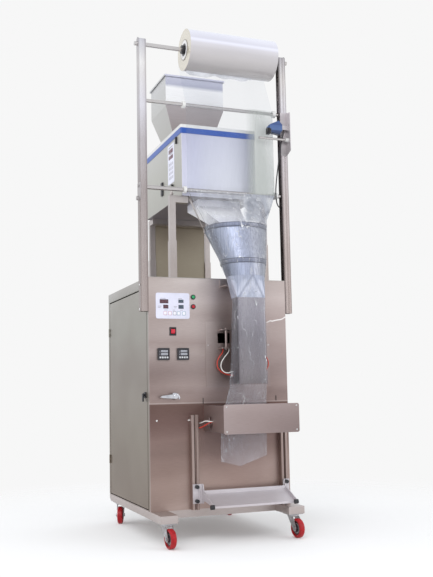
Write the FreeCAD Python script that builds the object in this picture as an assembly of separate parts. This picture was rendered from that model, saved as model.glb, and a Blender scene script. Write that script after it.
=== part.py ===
"""Vertical form, fill and seal machine for granules, on castors, with its weigh feeder on top.

Millimetres. X runs to the machine's right, Y to its back, Z up, and the floor is Z = 0.
The shapes are drawn with Y = 0 on the face of the front panel. They are written out
moved so that the origin is on the floor under the middle of the machine.
"""
import FreeCAD, Part

import math
import os

os.makedirs("parts", exist_ok=True)

V = FreeCAD.Vector

# Cabinet
cabinet_w = 600.0
cabinet_d = 670.0
cabinet_top = 1045.0
sheet = 2.0
flange = 14.0
panel_return = 10.0
lid_skirt = 38.0
lid_over = 1.0
seam = 0.3

# Base frame
base_top = 122.0
base_tube = 29.0
base_wall = 2.5
base_corner = 26.0
stub_w = 70.0
stub_length = 128.0

# Castors
wheel_d = 75.0
wheel_w = 23.0
tread = 8.0
hub_d = 22.0
swivel_side = 35.0
swivel_front_y = -93.0
swivel_rear_margin = 70.0
swivel_offset = 32.0
front_turn = -6.0
rear_turn = 20.0
swivel_pin_d = 12.0
axle_d = 8.0
fork_sheet = 2.5
fork_head_d = 46.0
fork_head_h = 8.0
castor_plate = 3.0
running_gap = 0.3
side_gap = 2.0

# Door in the left side
door_front = 35.0
door_back_margin = 26.0
door_top_margin = 45.0
door_gap = 5.0
knuckle_d = 7.0
knuckle_h = 38.0
hinge_pin_d = 3.0
hinge_leaf = 10.0
hinge_leaf_t = 1.2
hinge_z = (264.0, 845.0)
latch_y = 60.0
latch_z = 574.0
latch_side = 28.0
latch_h = 24.0
latch_paddle_w = 12.0

# Controls on the front panel
keypad_x = -200.0
keypad_z = 929.0
keypad_w = 142.0
keypad_h = 104.0
keypad_t = 1.5
keypad_corner = 8.0
controller_x = (-242.0, -160.0)
controller_z = 735.0
controller_side = 48.0
controller_cut = 44.0
controller_depth = 60.0
bezel_rim = 5.0
bezel_out = 9.0
rocker_x = -201.0
rocker_z = 826.0
rocker_w = 16.0
rocker_h = 18.0
button_x = -113.0
button_z = (966.0, 927.0)
button_d = 13.2
button_travel = 3.0
button_out = 7.0
button_depth = 25.0
handle_x = -199.0
handle_z = 567.0
handle_length = 66.0
handle_boss_d = 22.0
handle_base = 8.0
handle_out = 30.0
hook_d = 8.0

# Film posts, bars and roll
post_w = 32.0
post_d = 30.0
post_wall = 2.5
post_foot = 906.0
post_top = 2040.0
film_x = 70.0
film_w = 396.0
shaft_d = 18.0
shaft_z = 2013.0
shaft_end = 345.0
shaft_gap = 0.4
roll_d = 172.0
core_d = 98.0
core_wall = 6.0
bar_y = 15.0
upper_bar_z = 1775.0
upper_bar_d = 15.0
lower_bar_z = 1413.0
lower_bar_d = 17.0
collar_d = 30.0
collar_w = 12.0
short_bar_z = 1655.0
short_bar_y = -20.0
short_bar_d = 10.0
short_bar_start = 190.0
sensor_x = 238.0
sensor_w = 58.0
sensor_z = 1705.0
bracket_foot = 1590.0
bracket_top = 1780.0
bracket_reach = 42.0
bracket_inset = 6.0
plate_t = 3.0
plate_drop = 41.0
plate_low_d = 38.0
grommet_z = 1360.0
grommet_d = 12.0

# Feeder, hopper and chute
feeder_x = 28.0
feeder_w = 336.0
feeder_front = 40.0
feeder_d = 520.0
feeder_z = 1395.0
feeder_h = 291.0
feeder_lid_h = 14.0
feeder_skirt = 24.0
feeder_switch_y = 264.0
feeder_switch_z = 87.0
feeder_knob_y = 112.0
feeder_knob_z = 69.0
feeder_toggle_y = 55.0
feeder_pad_front = 94.0
feeder_pad_d = 86.0
feeder_pad_z = 83.0
feeder_pad_h = 172.0
front_leg_spread = 206.0
rear_leg_spread = 138.0
leg_tube = 25.0
leg_sleeve_z = 1205.0
leg_wall = 2.0
leg_inset_y = 20.0
stud_d = 8.0
nut_d = 14.0
nut_h = 6.0
rear_plate_t = 3.0
rear_plate_fold = 21.0
hopper_w = 280.0
hopper_front = 330.0
hopper_d = 230.0
hopper_top = 2027.0
hopper_knee = 1880.0
hopper_taper_x = 62.0
hopper_taper_y = 42.0
hopper_sheet = 1.5
chute_foot = 1262.0
chute_neck = 1366.0
chute_neck_left = 88.0
chute_neck_right = 58.0
chute_neck_front = 45.0
chute_neck_d = 140.0
chute_end_left = 68.0
chute_end_right = 42.0
chute_end_d = 80.0
chute_end_y = 4.0

# Former and forming tube
forming_x = 80.0
former_sheet = 1.5
ring_d = 256.0
ring_y = 0.0
ring_z = 1243.0
mid_d = 182.0
mid_y = -75.0
mid_z = 1102.0
neck_d = 156.0
neck_y = -95.0
neck_z = 1040.0
hoop_h = 20.0
hoop_t = 2.0
bracket_w = 35.0
bracket_t = 4.0
bracket_drop = 28.0
bracket_out = 68.0
bracket_foot_h = 32.0
strap_w = 20.0
strap_angle = 116.0
tube_w = 120.0
tube_d = 62.0
tube_y = -119.0
tube_top = 953.0
tube_end = 612.0
tube_corner = 5.0

# Vertical sealer behind the tube
mount_low = 600.0
mount_high = 866.0
mount_w = 285.0
window_x = 17.0
window_z = 800.0
window_w = 54.0
window_h = 42.0
yoke_pin_d = 9.0
seal_bar_w = 24.0
seal_bar_low = 38.0
seal_bar_high = 48.0
seal_bar_gap = 6.0
carrier_w = 40.0
carrier_d = 22.0
carrier_inset = 16.0
slide_d = 14.0
slide_inset = 100.0
lug_reach = 46.0
lug_t = 4.0
lug_low = 24.0
lug_high = 8.0

# Cross-sealing jaws
jaw_w = 316.0
jaw_h = 112.0
jaw_z = 421.0
jaw_depth = 228.0
jaw_plate = 6.0
jaw_gap = 30.0
jaw_bar_d = 42.0
jaw_bar_h = 38.0
jaw_hole_d = 52.0
jaw_hole_y = 48.0
jaw_hole_z = 37.0
jaw_teeth = 5
jaw_tooth = 3.0
jaw_tooth_step = 7.0
bag_x = 56.0
bag_w = 184.0
bag_foot = 291.0

# Tray on its rails
rail_w = 30.0
rail_d = 26.0
rail_left = 27.0
rail_right = 11.0
rail_foot = 122.0
rail_top = 492.0
groove_w = 10.0
groove_d = 8.0
tray_w = 350.0
tray_rear_y = -50.0
tray_front_y = -138.0
tray_rear_z = 184.0
tray_front_z = 146.0
tray_sheet = 2.0
arm_t = 3.0
clamp_t = 6.0
clamp_low = 37.0
clamp_high = 38.0
knob_d = 15.0
knob_h = 14.0
end_knob_d = 18.0
thread_d = 6.0

# Film and cords
film_t = 1.0
film_clear = 1.1
film_reach = 105
film_step = 15
cable_d = 5.0
lead_d = 4.5
jaw_lead_d = 4.0

# Derived places
half_w = cabinet_w / 2.0
swivel_rear_y = cabinet_d - swivel_rear_margin
door_back = cabinet_d - door_back_margin
door_high = cabinet_top - door_top_margin
base_low = base_top - base_tube
panel_top = cabinet_top - sheet
post_out = half_w + post_w
feeder_top = feeder_z + feeder_h
feeder_left = feeder_x - feeder_w / 2.0
feeder_right = feeder_x + feeder_w / 2.0
roll_r = roll_d / 2.0
jaw_left = forming_x - jaw_w / 2.0
jaw_right = forming_x + jaw_w / 2.0
to_origin = V(0.0, (jaw_depth - cabinet_d - lid_over) / 2.0, 0.0)


def save(name, *shapes):
    """Write one STEP file of one or more solids."""
    solids = []
    for shape in shapes:
        solids.extend(shape.Solids)
    for solid in solids:
        if not solid.isValid():
            raise ValueError(name + " has a solid that is not valid")
    body = solids[0] if len(solids) == 1 else Part.makeCompound(solids)
    body.translated(to_origin).exportStep("parts/" + name + ".step")
    print(name, len(solids), "solids", round(sum(s.Volume for s in solids) / 1000.0, 1), "cm3")


def block(x0, x1, y0, y1, z0, z1):
    """A box between two corners."""
    return Part.makeBox(x1 - x0, y1 - y0, z1 - z0, V(x0, y0, z0))


def rounded(x0, x1, y0, y1, z0, z1, radius, way="z"):
    """A box whose four edges along one way are rounded."""
    box = block(x0, x1, y0, y1, z0, z1)
    index = "xyz".index(way)
    edges = []
    for edge in box.Edges:
        run = edge.Vertexes[1].Point - edge.Vertexes[0].Point
        if abs(abs(run[index]) - run.Length) < 1e-6:
            edges.append(edge)
    return box.makeFillet(radius, edges)


def rod(diameter, start, end):
    """A round bar between two points."""
    run = end - start
    return Part.makeCylinder(diameter / 2.0, run.Length, start, run)


def ring(outer, inner, start, end):
    """A round tube between two points."""
    run = end - start
    hole = Part.makeCylinder(inner / 2.0, run.Length + 2.0, start - run.normalize(), run)
    return rod(outer, start, end).cut(hole)


def prism(points, way):
    """A flat outline pushed along a vector."""
    wire = Part.makePolygon([V(*p) for p in points] + [V(*points[0])])
    return Part.Face(wire).extrude(way)


def turned(profile, centre):
    """An outline of (radius, height) pairs revolved about the X line through a point."""
    points = [centre + V(along, 0, radius) for radius, along in profile]
    face = Part.Face(Part.makePolygon(points + points[:1]))
    return face.revolve(centre, V(1, 0, 0), 360)


def rectangle(x0, x1, y0, y1, z):
    """A level rectangular wire."""
    return Part.makePolygon([V(x0, y0, z), V(x1, y0, z), V(x1, y1, z), V(x0, y1, z), V(x0, y0, z)])


def circle(d, x, y, z):
    """A level round wire."""
    return Part.Wire(Part.makeCircle(d / 2.0, V(x, y, z)))


def cord(diameter, points, reach=0.45):
    """A cord along straight runs joined by tangent arcs. Prints its length and smallest bend."""
    points = [V(*p) for p in points]
    corners = []
    for before, here, after in zip(points, points[1:], points[2:]):
        back = before - here
        on = after - here
        turn = math.pi - back.getAngle(on)
        cut = reach * min(back.Length, on.Length)
        radius = cut / math.tan(turn / 2.0)
        back.normalize()
        on.normalize()
        middle = (back + on).normalize()
        centre = here + middle * (radius / math.cos(turn / 2.0))
        corners.append((here + back * cut, centre - middle * radius, here + on * cut, radius))
    edges = []
    place = points[0]
    for start, middle, end, radius in corners:
        edges.append(Part.LineSegment(place, start).toShape())
        edges.append(Part.Arc(start, middle, end).toShape())
        place = end
    edges.append(Part.LineSegment(place, points[-1]).toShape())
    path = Part.Wire(edges)
    outline = Part.Wire(Part.makeCircle(diameter / 2.0, points[0], points[1] - points[0]))
    body = path.makePipeShell([outline], True, False)
    section = math.pi * diameter ** 2 / 4.0
    least = min(corner[3] for corner in corners)
    print("  cord", round(path.Length, 1), "mm long, least radius", round(least, 1),
          "mm, volume", round(body.Volume / (section * path.Length), 4), "of section by length")
    return body


def make_base():
    """Rectangular-tube frame with the stubs that carry the front castors, and the floor sheet."""
    frame = block(-half_w, half_w, 0.0, cabinet_d, base_low, base_top)
    rear = [e for e in frame.Edges if abs(e.CenterOfMass.y - cabinet_d) < 1e-6
            and abs(e.CenterOfMass.z - base_low) < 1e-6]
    frame = frame.makeFillet(base_corner, rear)
    inner = half_w - base_tube
    frame = frame.cut(block(-inner, inner, base_tube, cabinet_d - base_tube, base_low - 1, base_top + 1))
    for side in (-1, 1):
        x0, x1 = sorted((side * half_w, side * (half_w - stub_w)))
        stub = rounded(x0, x1, -stub_length, base_tube, base_low, base_top, 3.0)
        hollow = block(x0 + base_wall, x1 - base_wall, -stub_length + base_wall, base_tube - base_wall,
                       base_low + base_wall, base_top - base_wall)
        frame = frame.fuse(stub.cut(hollow))
        plate = block(x0, x1, swivel_rear_y - swivel_side, cabinet_d - base_tube, base_low,
                      base_low + base_wall)
        frame = frame.fuse(plate)
    floor = block(-half_w + sheet, half_w - sheet, sheet, cabinet_d - sheet, base_top, base_top + sheet)
    save("base_frame", frame.fuse(floor).removeSplitter())


def fork_solid():
    """Castor fork, its wheel trailing toward -Y, with the swivel line on Z."""
    head_top = base_low - castor_plate - 1.0
    head_low = head_top - fork_head_h
    axle_z = wheel_d / 2.0
    inner = wheel_w / 2.0 + side_gap
    head = Part.makeCylinder(fork_head_d / 2.0, fork_head_h, V(0, 0, head_low))
    head = head.makeFillet(2.0, [e for e in head.Edges if e.Length > fork_head_d])
    legs = []
    for side in (-1, 1):
        x0 = min(side * inner, side * (inner + fork_sheet))
        a = V(x0, 17, head_low + 1)
        b = V(x0, -19, head_low + 1)
        c = V(x0, -swivel_offset - 11, axle_z + 3)
        d = V(x0, -swivel_offset, axle_z - 11)
        e = V(x0, -swivel_offset + 10, axle_z - 4)
        outline = Part.Wire([
            Part.LineSegment(a, b).toShape(),
            Part.Arc(b, V(x0, -30, (head_low + axle_z) / 2.0 + 8), c).toShape(),
            Part.Arc(c, V(x0, -swivel_offset - 8, axle_z - 8), d).toShape(),
            Part.Arc(d, V(x0, -swivel_offset + 8, axle_z - 8), e).toShape(),
            Part.Arc(e, V(x0, -2, axle_z + 20), a).toShape(),
        ])
        legs.append(Part.Face(outline).extrude(V(fork_sheet, 0, 0)))
    fork = head.fuse(legs)
    fork = fork.cut(rod(swivel_pin_d + 2 * running_gap, V(0, 0, head_low - 1), V(0, 0, head_top + 1)))
    end = inner + fork_sheet
    ax = [rod(axle_d, V(-end, -swivel_offset, axle_z), V(end, -swivel_offset, axle_z))]
    for side in (-1, 1):
        ax.append(rod(13.0, V(side * end, -swivel_offset, axle_z),
                      V(side * (end + 4.0), -swivel_offset, axle_z)))
    return fork.fuse(ax).removeSplitter()


def wheel_solid():
    """Castor wheel: dished web between a thick tread and a hub."""
    r = wheel_d / 2.0
    w = wheel_w / 2.0
    bore = axle_d / 2.0 + running_gap
    hub = hub_d / 2.0
    hub_w = w + side_gap - 0.6
    half = [(bore, -hub_w), (hub, -hub_w), (hub, -w + 5), (r - tread - 2, -w + 5), (r - tread, -w),
            (r - 4, -w),
            (r, -w + 4)]
    profile = half + [(radius, -along) for radius, along in reversed(half)]
    return turned(profile, V(0, 0, 0)).translated(V(0, -swivel_offset, r))


def make_castors():
    """Four swivel castors: the plates and pins stay with the frame, the forks and wheels turn."""
    fork = fork_solid()
    wheel = wheel_solid()
    plates = []
    pin_top = base_low - castor_plate
    pin_low = pin_top - 1.0 - fork_head_h - 2.0
    for name, side, y, turn in (("front_left", -1, swivel_front_y, front_turn),
                                ("front_right", 1, swivel_front_y, front_turn),
                                ("rear_left", -1, swivel_rear_y, rear_turn),
                                ("rear_right", 1, swivel_rear_y, rear_turn)):
        x = side * (half_w - swivel_side)
        plate = rounded(x - 32, x + 32, y - 30, y + 30, pin_top, base_low, 5.0)
        head = rod(swivel_pin_d + 5, V(x, y, pin_low), V(x, y, pin_low + 1.7))
        plates.append(plate.fuse([rod(swivel_pin_d, V(x, y, pin_low), V(x, y, pin_top)), head]))
        for node, shape in (("fork", fork), ("wheel", wheel)):
            placed = shape.copy()
            placed.rotate(V(0, 0, 0), V(0, 0, 1), -turn)
            save("castor_" + node + "_" + name, placed.translated(V(x, y, 0)))
    save("castor_plates", *plates)


def hinge_leaf_solid(pin_x, pin_y, way, low, high):
    """Leaf of a hinge from its knuckle along the panel's face, thin beyond the knuckle."""
    near, far = sorted((pin_y, pin_y + way * hinge_leaf))
    leaf = block(pin_x - 0.5, -half_w, near, far, low, high)
    near, far = sorted((pin_y + way * knuckle_d / 2.0, pin_y + way * (hinge_leaf + 1)))
    return leaf.cut(block(pin_x - 1, -half_w - hinge_leaf_t, near, far, low - 1, high + 1))


def make_cabinet():
    """Sheet panels: front with returns, back, sides, the door in the left side and the lid."""
    low = base_top
    front = block(-half_w, half_w, 0.0, panel_return, low, panel_top)
    front = front.cut(block(-half_w + sheet, half_w - sheet, sheet, panel_return + 1, low - 1, panel_top + 1))
    cut = controller_cut / 2.0
    for x in controller_x:
        front = front.cut(block(x - cut, x + cut, -1, sheet + 1, controller_z - cut, controller_z + cut))
    w = rocker_w / 2.0 + 2.5
    h = rocker_h / 2.0 + 4.5
    front = front.cut(block(rocker_x - w, rocker_x + w, -1, sheet + 1, rocker_z - h, rocker_z + h))
    for z in button_z:
        front = front.cut(rod(button_d + 3.2, V(button_x, -1, z), V(button_x, sheet + 1, z)))
    front = front.cut(block(window_x - window_w / 2, window_x + window_w / 2, -1, sheet + 1,
                            window_z - window_h / 2, window_z + window_h / 2))
    save("front_panel", front)
    y1 = cabinet_d - sheet
    z0 = low + sheet
    back = block(-half_w, half_w, y1, cabinet_d, z0, panel_top)
    save("back_panel", back)
    save("right_panel", block(half_w - sheet, half_w, panel_return, y1, z0, panel_top))
    left = block(-half_w, -half_w + sheet, panel_return, y1, z0, panel_top)
    left = left.cut(block(-half_w - 1, -half_w + sheet + 1, door_front - door_gap, door_back + door_gap,
                          z0 - 1, door_high + door_gap))
    door_low = z0 + door_gap
    pin_x = -half_w - knuckle_d / 2.0
    pin_y = door_back + door_gap / 2.0
    parts = []
    door_parts = []
    for z in hinge_z:
        # The pin and its two end knuckles are on the frame, the middle knuckle on the door
        third = knuckle_h / 3.0
        for start in (z, z + 2 * third):
            knuckle = rod(knuckle_d, V(pin_x, pin_y, start), V(pin_x, pin_y, start + third))
            leaf = hinge_leaf_solid(pin_x, pin_y, 1, start, start + third)
            parts.extend([knuckle, leaf])
        parts.append(rod(hinge_pin_d, V(pin_x, pin_y, z), V(pin_x, pin_y, z + knuckle_h)))
        start = z + third + seam
        end = z + 2 * third - seam
        knuckle = rod(knuckle_d, V(pin_x, pin_y, start), V(pin_x, pin_y, end))
        leaf = hinge_leaf_solid(pin_x, pin_y, -1, start, end)
        bore = rod(hinge_pin_d + 2 * running_gap, V(pin_x, pin_y, start - 1), V(pin_x, pin_y, end + 1))
        door_parts.append(knuckle.fuse(leaf).cut(bore))
    save("left_panel", left.fuse(parts).removeSplitter())
    door = block(-half_w, -half_w + flange, door_front, door_back, door_low, door_high)
    door = door.cut(block(-half_w + sheet, -half_w + flange + 1, door_front + sheet, door_back - sheet,
                          door_low + sheet, door_high - sheet))
    save("left_door", door.fuse(door_parts).removeSplitter())
    x = -half_w
    latch = rounded(x - 4, x, latch_y - latch_side / 2, latch_y + latch_side / 2,
                    latch_z - latch_h / 2, latch_z + latch_h / 2, 4.0, "x")
    latch = latch.fuse(rod(latch_paddle_w - 1, V(x - 9, latch_y, latch_z), V(x - 3, latch_y, latch_z)))
    latch = latch.fuse(rounded(x - 13, x - 8, latch_y - latch_paddle_w / 2, latch_y + latch_paddle_w / 2,
                               latch_z - latch_h - 2, latch_z + 7, 5.0, "x"))
    save("door_latch", latch)
    lid = block(-half_w - lid_over, half_w + lid_over, -lid_over, cabinet_d + lid_over,
                cabinet_top - lid_skirt, cabinet_top)
    upright = [e for e in lid.Edges if abs(e.Vertexes[0].X - e.Vertexes[1].X) < 1e-6
               and abs(e.Vertexes[0].Y - e.Vertexes[1].Y) < 1e-6]
    lid = lid.makeFillet(2.5, upright)
    lid = lid.cut(block(-half_w - seam, half_w + seam, -seam, cabinet_d + seam,
                        cabinet_top - lid_skirt - 1, panel_top))
    # The skirt stops short of the front, and the overhang is notched round the posts
    lid = lid.cut(block(-half_w - 5, half_w + 5, -5, post_d + 4, cabinet_top - lid_skirt - 1, panel_top))
    for x in (-half_w - 5, half_w):
        lid = lid.cut(block(x, x + 5, -5, post_d + seam, cabinet_top - lid_skirt - 1, cabinet_top + 1))
    save("top_lid", lid)


def make_controls():
    """Membrane keypad, controllers, rocker, buttons and lever handle on the front panel."""
    w = keypad_w / 2.0
    h = keypad_h / 2.0
    save("panel_keypad", rounded(keypad_x - w, keypad_x + w, -keypad_t, 0.0, keypad_z - h, keypad_z + h,
                                 keypad_corner, "y"))
    controllers = []
    half = controller_side / 2.0
    body = controller_cut / 2.0 - 0.2
    for x in controller_x:
        bezel = rounded(x - half, x + half, -bezel_out, 0.0, controller_z - half, controller_z + half, 3.0,
                        "y")
        window = block(x - half + bezel_rim, x + half - bezel_rim, -bezel_out - 1, -bezel_out + 2,
                       controller_z - half + bezel_rim, controller_z + half - bezel_rim)
        case = block(x - body, x + body, 0.0, controller_depth, controller_z - body, controller_z + body)
        controllers.append(bezel.cut(window).fuse(case))
    save("temperature_controllers", *controllers)
    w = rocker_w / 2.0
    h = rocker_h / 2.0
    frame = rounded(rocker_x - w - 6, rocker_x + w + 6, -2.5, 0.0, rocker_z - h - 8, rocker_z + h + 8, 2.0,
                    "y")
    frame = frame.fuse(block(rocker_x - w - 2.3, rocker_x + w + 2.3, 0, 22, rocker_z - h - 4.3,
                             rocker_z + h + 4.3))
    frame = frame.cut(block(rocker_x - w - 0.5, rocker_x + w + 0.5, -3, 15, rocker_z - h - 2.5,
                            rocker_z + h + 2.5))
    bezels = [frame]
    pivot = 7.5
    rocker = rod(28.0, V(rocker_x - w, pivot, rocker_z), V(rocker_x + w, pivot, rocker_z))
    save("power_rocker", rocker.common(block(rocker_x - w, rocker_x + w, -8, 7, rocker_z - h, rocker_z + h)))
    depth = button_depth
    for z, name in zip(button_z, ("start_button", "stop_button")):
        hole = button_d + 0.8
        bezel = ring(hole + 6, hole, V(button_x, -4, z), V(button_x, 0, z))
        barrel = ring(hole + 2, hole, V(button_x, 0, z), V(button_x, depth, z))
        end = rod(hole + 2, V(button_x, depth - 2, z), V(button_x, depth, z))
        bezels.append(bezel.fuse([barrel, end]))
        cap = rod(button_d, V(button_x, -button_out, z), V(button_x, depth - 2 - button_travel - 1, z))
        save(name, cap.makeFillet(1.5, [e for e in cap.Edges if abs(e.CenterOfMass.y + button_out) < 1e-6]))
    bezels.append(rod(handle_boss_d + 2, V(handle_x, -handle_base, handle_z), V(handle_x, 0, handle_z)))
    x0 = feeder_left
    y = feeder_front + feeder_switch_y
    z = feeder_z + feeder_switch_z
    bezels.append(rounded(x0 - 6, x0, y - 12, y + 12, z - 30, z + 30, 3.0, "x"))
    bezels.append(rod(9.0, V(x0 - 10, feeder_front + feeder_knob_y, feeder_z + feeder_knob_z),
                      V(x0, feeder_front + feeder_knob_y, feeder_z + feeder_knob_z)))
    y = feeder_front + feeder_toggle_y
    z = feeder_top - feeder_skirt - 3.0
    bezels.append(rounded(x0 - 8, x0, y - 5, y + 5, z - 29, z, 2.0, "x"))
    bezels.append(rod(grommet_d, V(post_out - post_wall - 6, bar_y, grommet_z),
                      V(post_out - post_wall, bar_y, grommet_z)))
    save("bezels_and_switches", *bezels)
    # Lever drawn pointing to the left: round boss, tapered arm, and a hooked grip over its right end
    seat = handle_out - 10.0
    boss = rod(handle_boss_d, V(handle_x, -seat, handle_z), V(handle_x, -handle_base - running_gap, handle_z))
    tip_x = handle_x - handle_length
    outer = [V(handle_x + 2, 0, handle_z + 10), V(handle_x - 22, 0, handle_z + 7),
             V(tip_x + 8, 0, handle_z + 3),
             V(tip_x, 0, handle_z - 2), V(tip_x + 9, 0, handle_z - 5), V(handle_x - 20, 0, handle_z - 8),
             V(handle_x, 0, handle_z - 9)]
    arm = Part.Face(Part.makePolygon(outer + outer[:1])).extrude(V(0, -7, 0)).translated(V(0, -seat, 0))
    cap = rod(handle_boss_d, V(handle_x, -handle_out, handle_z), V(handle_x, -seat, handle_z))
    cap = cap.makeFillet(4.0, [e for e in cap.Edges if abs(e.CenterOfMass.y + handle_out) < 1e-6])
    bend = [V(handle_x - 14, -seat - 5, handle_z + 9), V(handle_x + 5, -seat - 5, handle_z + 8),
            V(handle_x + 13, -seat - 5, handle_z - 9)]
    path = Part.Wire([Part.Arc(*bend).toShape()])
    start = Part.Wire(Part.makeCircle(hook_d / 2.0, bend[0],
                                      path.Edges[0].tangentAt(path.Edges[0].FirstParameter)))
    hook = path.makePipeShell([start], True, False)
    end = Part.makeSphere(hook_d / 2.0, bend[2])
    save("panel_handle", boss.fuse([arm, cap, hook, end]).removeSplitter())


def make_posts():
    """Two channel posts, open toward each other and rounded at the top, with the bars between."""
    posts = []
    for side in (-1, 1):
        x0, x1 = sorted((side * half_w, side * post_out))
        web = side * post_out
        post = block(x0, x1, 0.0, post_d, post_foot, post_top)
        hx0, hx1 = sorted((side * (half_w - 1), web - side * post_wall))
        post = post.cut(block(hx0, hx1, post_wall, post_d - post_wall, post_foot - 1, post_top + 1))
        dome = rod(post_d, V(x0, post_d / 2.0, post_top - post_d / 2.0),
                   V(x1, post_d / 2.0, post_top - post_d / 2.0))
        post = post.common(block(x0, x1, 0, post_d, post_foot, post_top - post_d / 2.0).fuse(dome))
        post = post.cut(rod(shaft_d + 2 * shaft_gap, V(web - side * 9, bar_y, shaft_z),
                            V(web + side * 9, bar_y, shaft_z)))
        posts.append(post.removeSplitter())
    save("film_posts", *posts)
    bars = []
    collars = []
    reach = post_out - post_wall
    for z, d in ((upper_bar_z, upper_bar_d), (lower_bar_z, lower_bar_d)):
        bars.append(rod(d, V(-reach, bar_y, z), V(reach, bar_y, z)))
        for side in (-1, 1):
            x = film_x + side * (film_w / 2.0 + collar_w / 2.0 + 2.0)
            start = V(x - collar_w / 2.0, bar_y, z)
            collars.append(ring(collar_d, d, start, start + V(collar_w, 0, 0)))
    bracket_x = post_out - bracket_inset
    y = short_bar_y
    bars.append(rod(short_bar_d, V(short_bar_start, y, short_bar_z), V(bracket_x + 12, y, short_bar_z)))
    collars.append(ring(18.0, short_bar_d, V(bracket_x - 12, y, short_bar_z), V(bracket_x, y, short_bar_z)))
    save("guide_bars", *bars)
    save("bar_collars", *collars)
    # Right bracket: a plate on the post's face, a flange that stands forward and the sensor's arm
    x = bracket_x
    face = block(half_w + 1, x + arm_t, -arm_t, 0, bracket_foot, bracket_top)
    flange_points = [(x, -arm_t, bracket_foot), (x, -arm_t, bracket_top),
                     (x, -bracket_reach, bracket_top - 8),
                     (x, -bracket_reach, bracket_foot + 16)]
    side_flange = prism(flange_points, V(arm_t, 0, 0))
    side_flange = side_flange.cut(rod(short_bar_d, V(x - 5, y, short_bar_z), V(x + 8, y, short_bar_z)))
    arm = block(sensor_x + sensor_w - 4, x, -22, -18, sensor_z - 6, sensor_z + 12)
    sensor = sensor_solid()
    save("mark_sensor", sensor)
    save("film_bracket", face.fuse([side_flange, arm.cut(sensor)]).removeSplitter())
    x = -post_out
    y = bar_y - 10.0
    low = lower_bar_z - plate_drop
    lobe = block(x - plate_t, x, y - plate_low_d / 2, y + plate_low_d / 2, low, lower_bar_z + 12)
    lobe = lobe.fuse(rod(plate_low_d, V(x - plate_t, y, low), V(x, y, low)))
    knob = rod(18.0, V(x - plate_t - 9, y, low - 10), V(x - plate_t, y, low - 10))
    pivot = rod(12.0, V(x - plate_t - 4, y, lower_bar_z), V(x - plate_t, y, lower_bar_z))
    save("tension_plate", lobe.fuse([knob, pivot]).removeSplitter())


def sensor_solid():
    """Wedge-shaped photoelectric sensor with its lens barrel."""
    x = sensor_x
    z = sensor_z
    outline = [(x, -8, z - 24), (x + sensor_w - 12, -8, z - 32), (x + sensor_w, -8, z - 12),
               (x + sensor_w, -8, z + 14), (x + sensor_w - 16, -8, z + 30), (x, -8, z + 10)]
    body = prism(outline, V(0, -24, 0))
    body = body.makeFillet(2.5, body.Edges)
    return body.fuse(rod(20.0, V(x - 8, -20, z - 8), V(x + 2, -20, z - 8)))


def make_roll():
    """Roll of film on its shaft between two cones. The shaft turns in the posts."""
    save("roll_shaft", rod(shaft_d, V(-shaft_end, bar_y, shaft_z), V(shaft_end, bar_y, shaft_z)))
    left = film_x - film_w / 2.0
    right = film_x + film_w / 2.0
    core = core_d - 2 * core_wall
    roll = ring(roll_d, core, V(left, bar_y, shaft_z), V(right, bar_y, shaft_z))
    save("film_roll", roll)
    cones = []
    bore = shaft_d / 2.0
    for x, way in ((left, 1), (right, -1)):
        cone = turned([(bore, -2 * way), (core / 2.0, -2 * way), (core / 2.0, 2 * way),
                       (core / 2.0 - 9, 26 * way),
                       (bore, 26 * way)], V(x, bar_y, shaft_z))
        hub = ring(36.0, shaft_d, V(x - way * 14, bar_y, shaft_z), V(x - way * 2, bar_y, shaft_z))
        cones.append(cone.fuse(hub))
    save("roll_cones", *cones)


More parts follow.
